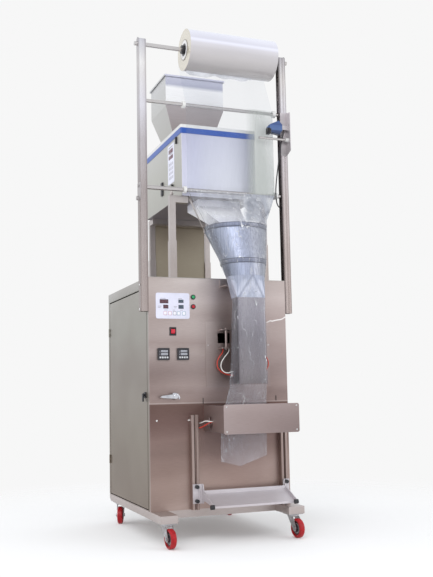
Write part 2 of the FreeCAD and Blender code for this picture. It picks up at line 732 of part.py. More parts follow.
def make_feeder():
    """Weigh feeder: sheet housing on four legs, its lid, keypad, switches, hopper and chute."""
    x0 = feeder_left
    x1 = feeder_right
    y0 = feeder_front
    y1 = feeder_front + feeder_d
    top = feeder_top
    skirt_low = top - feeder_skirt
    housing = rounded(x0, x1, y0, y1, feeder_z, top, 4.0)
    housing = housing.cut(rounded(x0 + sheet, x1 - sheet, y0 + sheet, y1 - sheet, feeder_z + sheet, top + 1,
                                  2.0))
    neck = (x0 + chute_neck_left, x1 - chute_neck_right, y0 + chute_neck_front,
            y0 + chute_neck_front + chute_neck_d)
    housing = housing.cut(block(neck[0] + 2, neck[1] - 2, neck[2] + 2, neck[3] - 2, feeder_z - 1,
                                feeder_z + sheet + 1))
    save("feeder_housing", housing)
    trim = rounded(x0 - 2, x1 + 2, y0 - 2, y1 + 2, skirt_low, top, 5.0)
    save("feeder_trim", trim.cut(rounded(x0 - seam, x1 + seam, y0 - seam, y1 + seam, skirt_low - 1, top + 1,
                                         4.3)))
    lid = rounded(x0 - 2, x1 + 2, y0 - 2, y1 + 2, top, top + feeder_lid_h, 5.0)
    lid = lid.cut(rounded(x0 + 1, x1 - 1, y0 + 1, y1 - 1, top - 1, top + feeder_lid_h - sheet, 4.0))
    hx0 = feeder_x - hopper_w / 2.0
    hx1 = feeder_x + hopper_w / 2.0
    hy0 = hopper_front
    hy1 = hopper_front + hopper_d
    low = top + feeder_lid_h
    mouth = (hx0 + hopper_taper_x, hx1 - hopper_taper_x, hy0 + hopper_taper_y, hy1 - hopper_taper_y)
    t = hopper_sheet
    inlet = block(mouth[0] + t, mouth[1] - t, mouth[2] + t, mouth[3] - t, low - feeder_lid_h, low + 1)
    save("feeder_lid", lid.cut(inlet))
    pad_y = y0 + feeder_pad_front
    pad_z = feeder_z + feeder_pad_z
    save("feeder_keypad", rounded(x0 - keypad_t, x0, pad_y, pad_y + feeder_pad_d, pad_z, pad_z + feeder_pad_h,
                                  6.0, "x"))
    # Hopper: a square bin over tapered walls, open at the top and into the feeder
    outer = Part.makeLoft([rectangle(*mouth, low), rectangle(hx0, hx1, hy0, hy1, hopper_knee)], True)
    outer = outer.fuse(block(hx0, hx1, hy0, hy1, hopper_knee, hopper_top))
    inner = Part.makeLoft([rectangle(mouth[0] + t, mouth[1] - t, mouth[2] + t, mouth[3] - t, low),
                           rectangle(hx0 + t, hx1 - t, hy0 + t, hy1 - t, hopper_knee)], True)
    inner = inner.fuse(block(hx0 + t, hx1 - t, hy0 + t, hy1 - t, hopper_knee, hopper_top + 1))
    lip = block(hx0 - 6, hx1 + 6, hy0 - 6, hy1 + 6, hopper_top - 8, hopper_top)
    lip = lip.cut(block(hx0 - 6 + t, hx1 + 6 - t, hy0 - 6 + t, hy1 + 6 - t, hopper_top - 9, hopper_top - t))
    lip = lip.cut(block(hx0, hx1, hy0, hy1, hopper_top - 10, hopper_top + 1))
    save("hopper", outer.cut(inner).fuse(lip).removeSplitter())
    # Chute: a neck under the feeder, then a funnel forward and down into the former
    end = (forming_x - chute_end_left, forming_x + chute_end_right, chute_end_y - chute_end_d / 2.0,
           chute_end_y + chute_end_d / 2.0)
    outer = Part.makeLoft([rectangle(*end, chute_foot), rectangle(*neck, chute_neck)], True)
    outer = outer.fuse(block(*neck, chute_neck, feeder_z))
    inner = Part.makeLoft([rectangle(end[0] + t, end[1] - t, end[2] + t, end[3] - t, chute_foot),
                           rectangle(neck[0] + t, neck[1] - t, neck[2] + t, neck[3] - t, chute_neck)], True)
    inner = inner.fuse(block(neck[0] + t, neck[1] - t, neck[2] + t, neck[3] - t, chute_neck, feeder_z))
    save("discharge_chute", outer.cut(inner))
    make_stand(y0, y1)


def make_stand(y0, y1):
    """Legs in two lengths: tubes in sleeves, lugs under the housing's front and a bar at its back."""
    half = leg_tube / 2.0
    wall = leg_wall
    front_y = y0 + leg_inset_y
    rear_y = y1 + leg_inset_y
    solids = []
    for side in (-1, 1):
        for spread, y in ((front_leg_spread, front_y), (rear_leg_spread, rear_y)):
            x = feeder_x + side * spread
            leg_top = feeder_z - leg_tube
            leg = block(x - half, x + half, y - half, y + half, cabinet_top, leg_top)
            leg = leg.fuse(block(x - half - wall, x + half + wall, y - half - wall, y + half + wall,
                                 cabinet_top, leg_sleeve_z))
            bore = half - wall
            leg = leg.cut(block(x - bore, x + bore, y - bore, y + bore, cabinet_top + wall, leg_top - wall))
            solids.append(leg)
        x = feeder_x + side * front_leg_spread
        x0, x1 = sorted((x + side * half, feeder_x + side * (feeder_w / 2.0 - 30)))
        under = feeder_z - leg_tube - 4
        solids.append(block(x0, x1, front_y - half, front_y + half, under, feeder_z))
        stud = rod(stud_d, V(x, front_y, under), V(x, front_y, feeder_z + 3 * nut_h))
        solids.append(stud.fuse(rod(nut_d, V(x, front_y, feeder_z + nut_h),
                                    V(x, front_y, feeder_z + 2 * nut_h))))
    x0 = feeder_x - rear_leg_spread - half
    x1 = feeder_x + rear_leg_spread + half
    solids.append(block(x0, x1, y1 - 2 * leg_inset_y, rear_y + half, feeder_z - leg_tube, feeder_z))
    stand = solids[0].fuse(solids[1:]).removeSplitter()
    save("feeder_stand", stand)
    inner = rear_leg_spread - half - wall - seam
    back = y1 + 15.0
    high = feeder_z - leg_tube
    plate = block(feeder_x - inner, feeder_x + inner, back - rear_plate_t, back, cabinet_top, high)
    fold = block(feeder_x - inner, feeder_x + inner, back - rear_plate_fold, back, high - rear_plate_t, high)
    save("rear_plate", plate.fuse(fold).removeSplitter())


def tube_outline(grow, z):
    """Rounded rectangle of the forming tube, grown outward."""
    x0 = forming_x - tube_w / 2.0 - grow
    x1 = forming_x + tube_w / 2.0 + grow
    y0 = tube_y - tube_d / 2.0 - grow
    y1 = tube_y + tube_d / 2.0 + grow
    box = rounded(x0, x1, y0, y1, z, z + 1.0, tube_corner + grow)
    face = [f for f in box.Faces if abs(f.CenterOfMass.z - z) < 1e-6][0]
    return face.OuterWire


def transition(grow):
    """Folded sheet body from the round neck above to the rectangular tube below."""
    steps = 6
    r = neck_d / 2.0 + grow
    corners = []
    for sx, sy in ((1, 1), (-1, 1), (-1, -1), (1, -1)):
        corners.append(V(forming_x + sx * (tube_w / 2.0 + grow), tube_y + sy * (tube_d / 2.0 + grow),
                         tube_top))
    rim = []
    for i in range(4 * steps):
        a = 2 * math.pi * i / (4 * steps)
        rim.append(V(forming_x + r * math.cos(a), neck_y + r * math.sin(a), neck_z))
    faces = []
    count = len(rim)
    for k, corner in enumerate(corners):
        fan = [rim[(k * steps + i) % count] for i in range(steps + 1)]
        for a, b in zip(fan, fan[1:]):
            faces.append(Part.Face(Part.makePolygon([corner, a, b, corner])))
        after = corners[(k + 1) % 4]
        faces.append(Part.Face(Part.makePolygon([corner, fan[-1], after, corner])))
    faces.append(Part.Face(Part.makePolygon(rim + rim[:1])))
    faces.append(Part.Face(Part.makePolygon(corners + corners[:1])))
    return Part.Solid(Part.Shell(faces))


def make_former():
    """Cone-shaped film former: round cone with hoops, folded neck, rectangular tube and brackets."""
    t = former_sheet
    x = forming_x
    low = neck_z + seam
    outer = Part.makeLoft([circle(mid_d, x, mid_y, mid_z), circle(ring_d, x, ring_y, ring_z)], True, True)
    outer = outer.fuse(Part.makeLoft([circle(neck_d, x, neck_y, low), circle(mid_d, x, mid_y, mid_z)], True,
                                     True))
    inner = Part.makeLoft([circle(mid_d - 2 * t, x, mid_y, mid_z), circle(ring_d - 2 * t, x, ring_y, ring_z)],
                          True, True)
    inner = inner.fuse(Part.makeLoft([circle(neck_d - 2 * t, x, neck_y, low),
                                      circle(mid_d - 2 * t, x, mid_y, mid_z)], True, True))
    cone = outer.cut(inner)
    hoops = []
    for d, y, z in ((ring_d, ring_y, ring_z), (mid_d, mid_y, mid_z)):
        start = V(x, y, z - hoop_h / 2.0 if d == mid_d else z)
        band = Part.makeCylinder(d / 2.0 + hoop_t, hoop_h, start)
        bore = d / 2.0 - t if d == ring_d else d / 2.0 - 12
        band = band.cut(Part.makeCylinder(bore, hoop_h + 2, start - V(0, 0, 1)))
        hoops.append(band.cut(inner))
    cone = cone.fuse(hoops).removeSplitter()
    save("former_cone", cone)
    neck = transition(0.0).cut(transition(-t))
    save("former_neck", neck)
    tube = Part.Face(tube_outline(0.0, tube_end)).extrude(V(0, 0, tube_top - seam - tube_end))
    bore = Part.Face(tube_outline(-t, tube_end - 1)).extrude(V(0, 0, tube_top - tube_end + 2))
    save("forming_tube", tube.cut(bore))
    outside = transition(0.3)
    brackets = []
    high = neck_z - bracket_drop
    for near in (x - neck_d / 2.0 + 2.0, x + neck_d / 2.0 - bracket_w - 2.0):
        shelf = block(near, near + bracket_w, -bracket_out, 0.0, high - bracket_t, high).cut(outside)
        shelf = max(shelf.Solids, key=lambda solid: solid.CenterOfMass.y)
        foot = block(near, near + bracket_w, -arm_t, 0.0, high - bracket_t, high - bracket_t + bracket_foot_h)
        brackets.append(shelf.fuse(foot).removeSplitter())
    # A flat strap from under the feeder to the back of the upper hoop
    angle = math.radians(strap_angle)
    radius = ring_d / 2.0 + hoop_t
    foot = V(x - radius * math.sin(angle), ring_y - radius * math.cos(angle), ring_z + hoop_h / 2.0)
    head = V(feeder_left + 34.0, feeder_front + 10.0, feeder_z)
    out = V(-math.sin(angle), -math.cos(angle), 0)
    along = V(0, 0, 1).cross(out) * (strap_w / 2.0)
    low_edge = [foot - along, foot + along]
    tab = [low_edge[0] - V(0, 0, hoop_h / 2.0), low_edge[1] - V(0, 0, hoop_h / 2.0)]
    head_edge = [head + V(0, strap_w / 2.0, 0), head - V(0, strap_w / 2.0, 0)]
    tab_face = Part.Face(Part.makePolygon(tab + [low_edge[1], low_edge[0], tab[0]]))
    strap = tab_face.extrude(out * 2.0)
    lower = Part.makePolygon(low_edge + [low_edge[1] + out * 2.0, low_edge[0] + out * 2.0, low_edge[0]])
    upper = Part.makePolygon(head_edge + [head_edge[1] + V(-2.0, 0, 0), head_edge[0] + V(-2.0, 0, 0),
                                          head_edge[0]])
    strap = strap.fuse(Part.makeLoft([lower, upper], True, True))
    brackets.append(strap.cut(Part.makeCylinder(radius, hoop_h + 40,
                                                V(x, ring_y, ring_z - 20))).removeSplitter())
    save("former_brackets", *brackets)


def make_sealer():
    """Vertical sealing bar behind the tube on its slides, and the yoke of its arm."""
    x = forming_x
    plate = block(x - mount_w / 2.0, x + mount_w / 2.0, -sheet, 0.0, mount_low, mount_high)
    opening = block(window_x - window_w / 2, window_x + window_w / 2, -sheet - 1, 1,
                    window_z - window_h / 2, window_z + window_h / 2)
    plate = plate.cut(opening)
    lugs = []
    for z in (window_z + window_h / 2.0 + lug_high, window_z - window_h / 2.0 - lug_low):
        lugs.append(rounded(window_x - 26, window_x + 30, -lug_reach, -sheet, z, z + lug_t, 3.0))
    pin_y = -lug_reach + 8.0
    pin = rod(yoke_pin_d, V(window_x - 4, pin_y, window_z - window_h / 2.0 - lug_low - lug_t),
              V(window_x - 4, pin_y, window_z + window_h / 2.0 + lug_high + 2 * lug_t))
    save("sealer_mount", plate.fuse(lugs + [pin]).removeSplitter())
    back = tube_y + tube_d / 2.0
    low = tube_end + seal_bar_low
    high = tube_top - seal_bar_high
    front = back + seal_bar_gap
    middle = front + seal_bar_w
    rear = middle + carrier_d
    bar = block(x - seal_bar_w / 2.0, x + seal_bar_w / 2.0, front, middle, low, high)
    carrier = block(x - carrier_w / 2.0, x + carrier_w / 2.0, middle, rear, low + carrier_inset,
                    high - carrier_inset)
    slides = []
    for z in (mount_low + slide_inset, mount_high - carrier_inset):
        slides.append(rod(slide_d, V(x, rear, z), V(x, -sheet, z)))
    save("sealing_bar", bar.fuse([carrier] + slides).removeSplitter())


def make_jaws():
    """Box of the cross-sealing jaws, open above and below for the bag."""
    x0 = jaw_left
    x1 = jaw_right
    front = rounded(x0, x1, -jaw_depth, -jaw_depth + jaw_plate, jaw_z, jaw_z + jaw_h, 8.0, "y")
    inset = 4.0
    sides = []
    for x in (x0 + inset, x1 - inset - jaw_plate):
        sides.append(block(x, x + jaw_plate, -jaw_depth + jaw_plate, 0, jaw_z + inset, jaw_z + jaw_h - inset))
    hole_y = tube_y + jaw_hole_y
    hole_z = jaw_z + jaw_hole_z
    box = front.fuse(sides).removeSplitter()
    box = box.cut(rod(jaw_hole_d, V(x0, hole_y, hole_z), V(x0 + 20, hole_y, hole_z)))
    save("jaw_box", box)
    inner0 = x0 + inset + jaw_plate
    inner1 = x1 - inset - jaw_plate
    low = jaw_z + (jaw_h - jaw_bar_h) / 2.0
    jaws = []
    for side in (-1, 1):
        y0, y1 = sorted((tube_y + side * jaw_gap / 2.0, tube_y + side * (jaw_gap / 2.0 + jaw_bar_d)))
        bar = block(inner0, inner1, y0, y1, low, low + jaw_bar_h)
        face = y1 if side < 0 else y0
        for k in range(jaw_teeth):
            z = low + 5 + k * jaw_tooth_step
            bar = bar.cut(block(inner0 + 20, inner1 - 20, face - 1, face + 1, z, z + jaw_tooth))
        jaws.append(bar)
    save("sealing_jaws", *jaws)


def make_tray():
    """Bag tray with its clamps on two grooved rails under the jaws."""
    x0 = forming_x - tray_w / 2.0
    x1 = forming_x + tray_w / 2.0
    rail_places = (x0 - rail_left, x1 + rail_right)
    rails = []
    for x in rail_places:
        rail = rounded(x - rail_w / 2, x + rail_w / 2, -rail_d, 0, rail_foot, rail_top, 1.5)
        g = groove_w / 2.0
        rails.append(rail.cut(block(x - g, x + g, -rail_d - 1, -rail_d + groove_d, rail_foot - 1,
                                    rail_top + 1)))
    save("tray_rails", *rails)
    t = tray_sheet
    section = [(x0, tray_rear_y, tray_rear_z + 14), (x0, tray_rear_y, tray_rear_z),
               (x0, tray_front_y, tray_front_z),
               (x0, tray_front_y, tray_front_z - 8), (x0, tray_front_y + t, tray_front_z - 8),
               (x0, tray_front_y + t, tray_front_z - t), (x0, tray_rear_y + t, tray_rear_z - t),
               (x0, tray_rear_y + t, tray_rear_z + 14)]
    pieces = [prism(section, V(x1 - x0, 0, 0))]
    knobs = []
    clamp_y = -rail_d - running_gap
    low = tray_rear_z - clamp_low
    high = tray_rear_z + clamp_high
    nose = tray_front_y - 8.0
    for side, x in zip((-1, 1), rail_places):
        edge = x0 - arm_t if side < 0 else x1
        pieces.append(tray_arm(edge, clamp_y, low, high, nose))
        near, far = (x - rail_w / 2.0, edge + arm_t) if side < 0 else (edge, x + rail_w / 2.0)
        pieces.append(block(near, far, clamp_y - clamp_t, clamp_y, low, high))
        g = groove_w / 2.0 - running_gap
        pieces.append(block(x - g, x + g, clamp_y, -rail_d + groove_d - 1, low + 10, high - 8))
        for z in (high - 10, low + 10):
            knobs.append(rod(knob_d, V(x, clamp_y - clamp_t - knob_h, z), V(x, clamp_y - clamp_t, z)))
        # Adjusting screw between the clamp's two knobs, half sunk in the clamp
        screw_x = x - side * (knob_d / 2.0 + thread_d / 2.0)
        pieces.append(rod(thread_d, V(screw_x, clamp_y - clamp_t, low + 4),
                          V(screw_x, clamp_y - clamp_t, high - 4)))
        mid = edge + arm_t / 2.0 - 6.0
        end_y = tray_front_y - end_knob_d + 1.0
        knobs.append(rod(end_knob_d, V(mid - 7, end_y, tray_front_z), V(mid + 7, end_y, tray_front_z)))
    save("bag_tray", pieces[0].fuse(pieces[1:]).removeSplitter())
    save("tray_knobs", *knobs)


def tray_arm(edge, back_y, low, high, nose):
    """End plate of the tray: upright at the clamp, then swept forward and down to its nose."""
    def at(y, z):
        return V(edge, y, z)
    wire = Part.Wire([
        Part.LineSegment(at(back_y, low), at(back_y, high)).toShape(),
        Part.LineSegment(at(back_y, high), at(back_y - 12, high)).toShape(),
        Part.Arc(at(back_y - 12, high), at(back_y - 20, high - 22), at(back_y - 38, high - 34)).toShape(),
        Part.Arc(at(back_y - 38, high - 34), at(back_y - 66, high - 44),
                 at(nose + 14, tray_front_z + 13)).toShape(),
        Part.Arc(at(nose + 14, tray_front_z + 13), at(nose, tray_front_z + 2),
                 at(nose + 8, tray_front_z - 8)).toShape(),
        Part.LineSegment(at(nose + 8, tray_front_z - 8), at(nose + 13, tray_front_z + 1)).toShape(),
        Part.LineSegment(at(nose + 13, tray_front_z + 1), at(back_y - 24, low + 11)).toShape(),
        Part.Arc(at(back_y - 24, low + 11), at(back_y - 18, low + 8), at(back_y - 14, low)).toShape(),
        Part.LineSegment(at(back_y - 14, low), at(back_y, low)).toShape(),
    ])
    return Part.Face(wire).extrude(V(arm_t, 0, 0))


def film_edge(radius, centre_y, z):
    """Film round one level of the cone: points every 15 degrees, outer side, then inner side back."""
    sides = []
    for r in (radius + film_t, radius):
        r = r / math.cos(math.radians(film_step / 2.0))
        side = []
        for angle in range(-film_reach, film_reach + 1, film_step):
            a = math.radians(angle)
            side.append(V(forming_x + r * math.sin(a), centre_y - r * math.cos(a), z))
        sides.append(side)
    return Part.makePolygon(sides[0] + sides[1][::-1] + sides[0][:1])


def film_line(y, z):
    """Film lying flat in front of the lower bar, with as many points as round the cone."""
    count = 2 * film_reach // film_step + 1
    sides = []
    for reach in (film_t, 0.0):
        sides.append([V(film_x + film_w * (i / (count - 1.0) - 0.5), y - reach, z) for i in range(count)])
    return Part.makePolygon(sides[0] + sides[1][::-1] + sides[0][:1])


def make_film():
    """Clear film: the web from the roll over the bars, the wrap down the former, and the bag."""
    t = film_t
    x0 = film_x - film_w / 2.0
    off_roll = roll_r + 5.0
    bar_r = upper_bar_d / 2.0 + seam
    lean = math.asin((off_roll + bar_r) / (shaft_z - upper_bar_z))
    c = math.cos(lean)
    s = math.sin(lean)
    leave = (bar_y + off_roll * c, shaft_z - off_roll * s)
    meet = (bar_y - bar_r * c, upper_bar_z + bar_r * s)
    front = bar_y - bar_r
    low = bar_y - lower_bar_d / 2.0 - seam
    section = [(x0, leave[0], leave[1]), (x0, meet[0], meet[1]), (x0, front, upper_bar_z),
               (x0, low, lower_bar_z),
               (x0, low - t, lower_bar_z), (x0, front - t, upper_bar_z),
               (x0, meet[0] - t * c, meet[1] + t * s),
               (x0, leave[0] - t * c, leave[1] + t * s)]
    save("film_web", prism(section, V(film_w, 0, 0)))
    # Wrap: down from the bar over both hoops, round the folded neck and along the tube
    ring_r = ring_d / 2.0 + hoop_t + film_clear
    mid_r = mid_d / 2.0 + hoop_t + film_clear
    grow = film_clear
    neck_r = (neck_d / 2.0 + grow) * math.cos(math.radians(film_step / 2.0))
    # At the top of the lower hoop the film goes round both the hoop and the leaning cone
    share = hoop_h / 2.0 / (ring_z - mid_z)
    shift = (ring_y - mid_y) * share / 2.0
    brow_r = mid_d / 2.0 + (ring_d - mid_d) / 2.0 * share + shift + film_clear
    over = Part.makeLoft([
        film_line(low, lower_bar_z - seam),
        film_edge(ring_r, ring_y, ring_z + hoop_h),
        film_edge(ring_r, ring_y, ring_z),
        film_edge(brow_r, mid_y + shift, mid_z + hoop_h / 2.0),
        film_edge(mid_r, mid_y, mid_z - hoop_h / 2.0),
        film_edge(neck_r, neck_y, neck_z),
    ], True, True)
    neck = transition(grow + t).cut(transition(grow))
    edge_y = neck_y + (neck_d / 2.0 + grow) * math.sin(math.radians(film_reach - 90))
    back_y = tube_y + tube_d / 2.0 + grow + t
    x1 = forming_x - neck_d
    behind = [(x1, edge_y, neck_z), (x1, edge_y, neck_z + 1), (x1, 0, neck_z + 1), (x1, 0, tube_top),
              (x1, back_y, tube_top)]
    neck = neck.cut(prism(behind, V(2 * neck_d, 0, 0)))
    sleeve = Part.Face(tube_outline(grow + t, tube_end - 4)).extrude(V(0, 0, tube_top - tube_end + 4))
    sleeve = sleeve.cut(Part.Face(tube_outline(grow, tube_end - 5)).extrude(V(0, 0, tube_top - tube_end + 6)))
    save("film_wrap", over.fuse([neck, sleeve]).removeSplitter())
    top = tube_end - 4.3
    half = tube_w / 2.0 + 2.0
    mid = bag_x
    hang = bag_w / 2.0
    front = [(forming_x - half, 0, top), (forming_x + half, 0, top), (mid + hang - 6, 0, jaw_z + jaw_h + 14),
             (mid + hang, 0, jaw_z), (mid + hang - 4, 0, bag_foot + 38), (mid - 11, 0, bag_foot),
             (mid - hang - 15, 0, bag_foot + 21), (mid - hang, 0, jaw_z),
             (mid - hang + 18, 0, jaw_z + jaw_h + 14)]
    outline = prism(front, V(0, 2 * tube_d, 0)).translated(V(0, tube_y - tube_d, 0))
    side = [(tube_d / 2.0 - 4, top), (9, jaw_z + jaw_h + 6), (7, jaw_z), (3, bag_foot + 30),
            (1.5, bag_foot - 1)]
    side = [(tube_y - reach, z) for reach, z in side] + [(tube_y + reach, z) for reach, z in reversed(side)]
    profile = prism([(mid - bag_w, y, z) for y, z in side], V(2 * bag_w, 0, 0))
    save("film_bag", outline.common(profile).removeSplitter())


def make_cords():
    """Sensor cable, the leads of the vertical sealer and those of the jaws."""
    start = sensor_x + sensor_w
    top = sensor_z + 4.0
    end = post_out - post_wall - 9.0
    save("sensor_cable", cord(cable_d, [
        (start, -14, top), (start + 12, -14, top), (start + 15, -11, top - 17), (start + 6, -7, top - 54),
        (start - 2, -7, top - 94), (start - 9, -7, top - 135), (start - 16, -8, top - 180),
        (start - 24, -9, top - 227),
        (end - 53.5, -9, grommet_z + 76), (end - 52.5, -7, grommet_z + 40),
        (end - 42.5, bar_y - 11, grommet_z + 12),
        (end - 20.5, bar_y, grommet_z), (end + 3, bar_y, grommet_z)]))
    under = window_z - window_h / 2.0 - lug_low
    left = forming_x - carrier_w / 2.0
    right = forming_x + carrier_w / 2.0
    carrier_y = tube_y + tube_d / 2.0 + seal_bar_gap + seal_bar_w + carrier_d / 2.0
    save("sealer_lead_red", cord(lead_d, [
        (8, -15, under), (8, -15, under - 14), (-10, -15, under - 32), (-21, -15, under - 57),
        (-14, -15, under - 84),
        (12, -15, under - 102), (50, -15, under - 109), (110, -15, under - 110), (165, -15, under - 105),
        (200, -15, under - 88), (211, -15, under - 62), (203, -15, under - 36), (178, -26, under - 18),
        (144, carrier_y, under - 14), (right, carrier_y, under - 14)]))
    save("sealer_lead_white", cord(lead_d, [
        (30, -26, under), (30, -26, under - 13), (9, -26, under - 34), (-8, -26, under - 60),
        (-5, -26, under - 86),
        (14, -34, under - 101), (38, carrier_y, under - 92), (left, carrier_y, under - 92)]))
    out = jaw_left + 4.0
    hole_y = tube_y + jaw_hole_y
    hole_z = jaw_z + jaw_hole_z
    jaw_end = out + jaw_plate
    # Both leads turn back to the panel in the gap between the jaw box and the left rail
    rail_edge = forming_x - tray_w / 2.0 - rail_left + rail_w / 2.0
    white = out - rail_edge - 9.0
    red = out - rail_edge - 4.0
    save("jaw_lead_white", cord(jaw_lead_d, [
        (jaw_end, hole_y - 16, hole_z + 8), (out - 4, hole_y - 16, hole_z + 8),
        (out - white * 2 / 3, hole_y - 4, hole_z + 11), (out - white * 11 / 12, hole_y + 20, hole_z + 8),
        (out - white, hole_y + 46, hole_z), (out - white, 0, hole_z)]))
    save("jaw_lead_red", cord(jaw_lead_d, [
        (jaw_end, hole_y - 2, hole_z + 5), (out - 4, hole_y - 2, hole_z + 5),
        (out - red * 0.62, hole_y + 8, hole_z - 6), (out - red * 0.9, hole_y + 28, hole_z - 14),
        (out - red, hole_y + 50, hole_z - 18), (out - red, 0, hole_z - 18)]))


make_base()
make_castors()
make_cabinet()
make_controls()
make_posts()
make_roll()
make_feeder()
make_former()
make_sealer()
make_jaws()
make_tray()
make_film()
make_cords()
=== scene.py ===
"""Looks of a vertical form, fill and seal machine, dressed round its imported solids."""

import math

import bpy
from mathutils import Matrix, Vector


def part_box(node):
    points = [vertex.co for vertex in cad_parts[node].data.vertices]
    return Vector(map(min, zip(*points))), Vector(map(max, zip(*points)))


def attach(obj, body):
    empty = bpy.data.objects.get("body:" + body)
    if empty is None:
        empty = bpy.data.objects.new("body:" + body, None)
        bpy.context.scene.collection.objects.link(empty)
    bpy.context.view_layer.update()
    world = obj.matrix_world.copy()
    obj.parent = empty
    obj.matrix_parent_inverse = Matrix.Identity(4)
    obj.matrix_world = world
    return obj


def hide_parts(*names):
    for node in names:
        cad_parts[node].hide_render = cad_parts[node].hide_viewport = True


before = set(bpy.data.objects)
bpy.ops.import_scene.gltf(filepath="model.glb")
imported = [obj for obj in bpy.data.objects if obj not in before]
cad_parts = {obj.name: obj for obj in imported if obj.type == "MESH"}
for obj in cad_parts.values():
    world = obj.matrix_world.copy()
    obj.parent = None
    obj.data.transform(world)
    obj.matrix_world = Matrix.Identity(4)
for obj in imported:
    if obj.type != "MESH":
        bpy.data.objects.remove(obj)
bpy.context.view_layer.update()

# Camera
# A long lens at knee height, out and to the machine's left, tipped a little upward.
# It shows the front, the left side and the underside of the feeder.
azimuth = math.radians(-21.17)
elevation = math.radians(-5.94)
roll = math.radians(-1.13)
camera_data = bpy.data.cameras.new("photo_camera")
camera_data.sensor_fit = "VERTICAL"
camera_data.sensor_height = 36.0
camera_data.lens = 51.65
camera_data.shift_x = -0.0032
camera_data.shift_y = 0.0274
camera_data.clip_end = 60.0
camera = bpy.data.objects.new("photo_camera", camera_data)
bpy.context.scene.collection.objects.link(camera)
camera.location = (-1.224, -3.3745, 0.587)
back = Vector((math.sin(azimuth) * math.cos(elevation), -math.cos(azimuth) * math.cos(elevation),
               math.sin(elevation)))
level_right = (-back).cross(Vector((0, 0, 1))).normalized()
level_up = level_right.cross(-back)
right = level_right * math.cos(roll) + level_up * math.sin(roll)
up = level_up * math.cos(roll) - level_right * math.sin(roll)
axes = camera.matrix_world.copy()
for row in range(3):
    axes[row][0] = right[row]
    axes[row][1] = up[row]
    axes[row][2] = back[row]
    axes[row][3] = camera.location[row]
camera.matrix_world = axes
bpy.context.scene.camera = camera
bpy.context.scene.view_settings.view_transform = "Standard"

# Studio
# A pale floor that fades into the backdrop, an even sky, and three soft lamps.
# The near-white of the backdrop also shows in metal and film.
backdrop = (0.93, 0.93, 0.93, 1.0)
world = bpy.data.worlds.new("studio_sky")
bpy.context.scene.world = world
world.use_nodes = True
tree = world.node_tree
tree.nodes.clear()
output = tree.nodes.new("ShaderNodeOutputWorld")
seen = tree.nodes.new("ShaderNodeBackground")
seen.inputs["Color"].default_value = backdrop
lit = tree.nodes.new("ShaderNodeBackground")
lit.inputs["Color"].default_value = (0.95, 0.97, 1.0, 1.0)
path = tree.nodes.new("ShaderNodeLightPath")
either = tree.nodes.new("ShaderNodeMath")
either.operation = "MAXIMUM"
mix = tree.nodes.new("ShaderNodeMixShader")
tree.links.new(path.outputs["Is Camera Ray"], either.inputs[0])
tree.links.new(path.outputs["Is Transmission Ray"], either.inputs[1])
tree.links.new(either.outputs[0], mix.inputs["Fac"])
tree.links.new(lit.outputs[0], mix.inputs[1])
tree.links.new(seen.outputs[0], mix.inputs[2])
tree.links.new(mix.outputs[0], output.inputs["Surface"])

bpy.ops.object.select_all(action="DESELECT")
bpy.ops.mesh.primitive_circle_add(vertices=96, radius=7.0, fill_type="NGON", location=(0, 0, -0.0005))
floor = bpy.context.object
floor.name = "studio_floor"
floor_paint = bpy.data.materials.new("studio_floor")
floor_paint.use_nodes = True
tree = floor_paint.node_tree
matte = tree.nodes["Principled BSDF"]
matte.inputs["Base Color"].default_value = (0.79, 0.79, 0.79, 1.0)
matte.inputs["Roughness"].default_value = 0.9
matte.inputs["Specular IOR Level"].default_value = 0.0
matte.inputs["Emission Color"].default_value = (1.0, 1.0, 1.0, 1.0)
matte.inputs["Emission Strength"].default_value = 0.14
place = tree.nodes.new("ShaderNodeTexCoord")
far = tree.nodes.new("ShaderNodeVectorMath")
far.operation = "LENGTH"
fade = tree.nodes.new("ShaderNodeMapRange")
fade.inputs["From Min"].default_value = 0.7
fade.inputs["From Max"].default_value = 2.2
fade.inputs["To Min"].default_value = 1.0
fade.inputs["To Max"].default_value = 0.0
tree.links.new(place.outputs["Object"], far.inputs[0])
tree.links.new(far.outputs["Value"], fade.inputs["Value"])
tree.links.new(fade.outputs["Result"], matte.inputs["Alpha"])
floor.data.materials.append(floor_paint)

for name, spot, size, power, aim in (("key_lamp", (-2.2, -3.2, 3.2), 2.2, 52.0, (0.0, 0.0, 1.0)),
                                     ("fill_lamp", (2.8, -2.6, 1.8), 2.4, 22.0, (0.0, 0.0, 0.9)),
                                     ("side_lamp", (-3.4, 1.2, 2.0), 2.0, 14.0, (0.0, 0.0, 0.8))):
    bpy.ops.object.light_add(type="AREA", location=spot)
    lamp = bpy.context.object
    lamp.name = name
    lamp.data.shape = "DISK"
    lamp.data.size = size
    lamp.data.energy = power
    lamp.rotation_euler = (Vector(aim) - Vector(spot)).to_track_quat("-Z", "Y").to_euler()

# Cabinet
# Panels of thin stainless sheet, brushed level, with the grain left coarse and a warm cast; their colour ramps by
# height and across are painted shade and reflection.
# The front is handled every day: it has soft dents, and painted shade darkens it behind the jaws.
even = (1.0, 1.0, 1.0)
fine_skin = 0.00001


def metres(x, y, z):
    """A place measured in mm from the middle of the front panel's foot, in the machine's frame."""
    return Vector((x / 1000.0, face_y + y / 1000.0, z / 1000.0))


def colour(code):
    """A written colour, such as a1b2c3, in linear light."""
    parts = [int(code[i:i + 2], 16) / 255.0 for i in (0, 2, 4)]
    return tuple(c / 12.92 if c < 0.04045 else ((c + 0.055) / 1.055) ** 2.4 for c in parts) + (1.0,)


def finish(name, code, rough=0.5, metal=0.0):
    """A new material with its main shader set. Returns the material, its tree and the shader."""
    paint = bpy.data.materials.new(name)
    paint.use_nodes = True
    shader = paint.node_tree.nodes["Principled BSDF"]
    shader.inputs["Base Color"].default_value = colour(code)
    shader.inputs["Roughness"].default_value = rough
    shader.inputs["Metallic"].default_value = metal
    return paint, paint.node_tree, shader


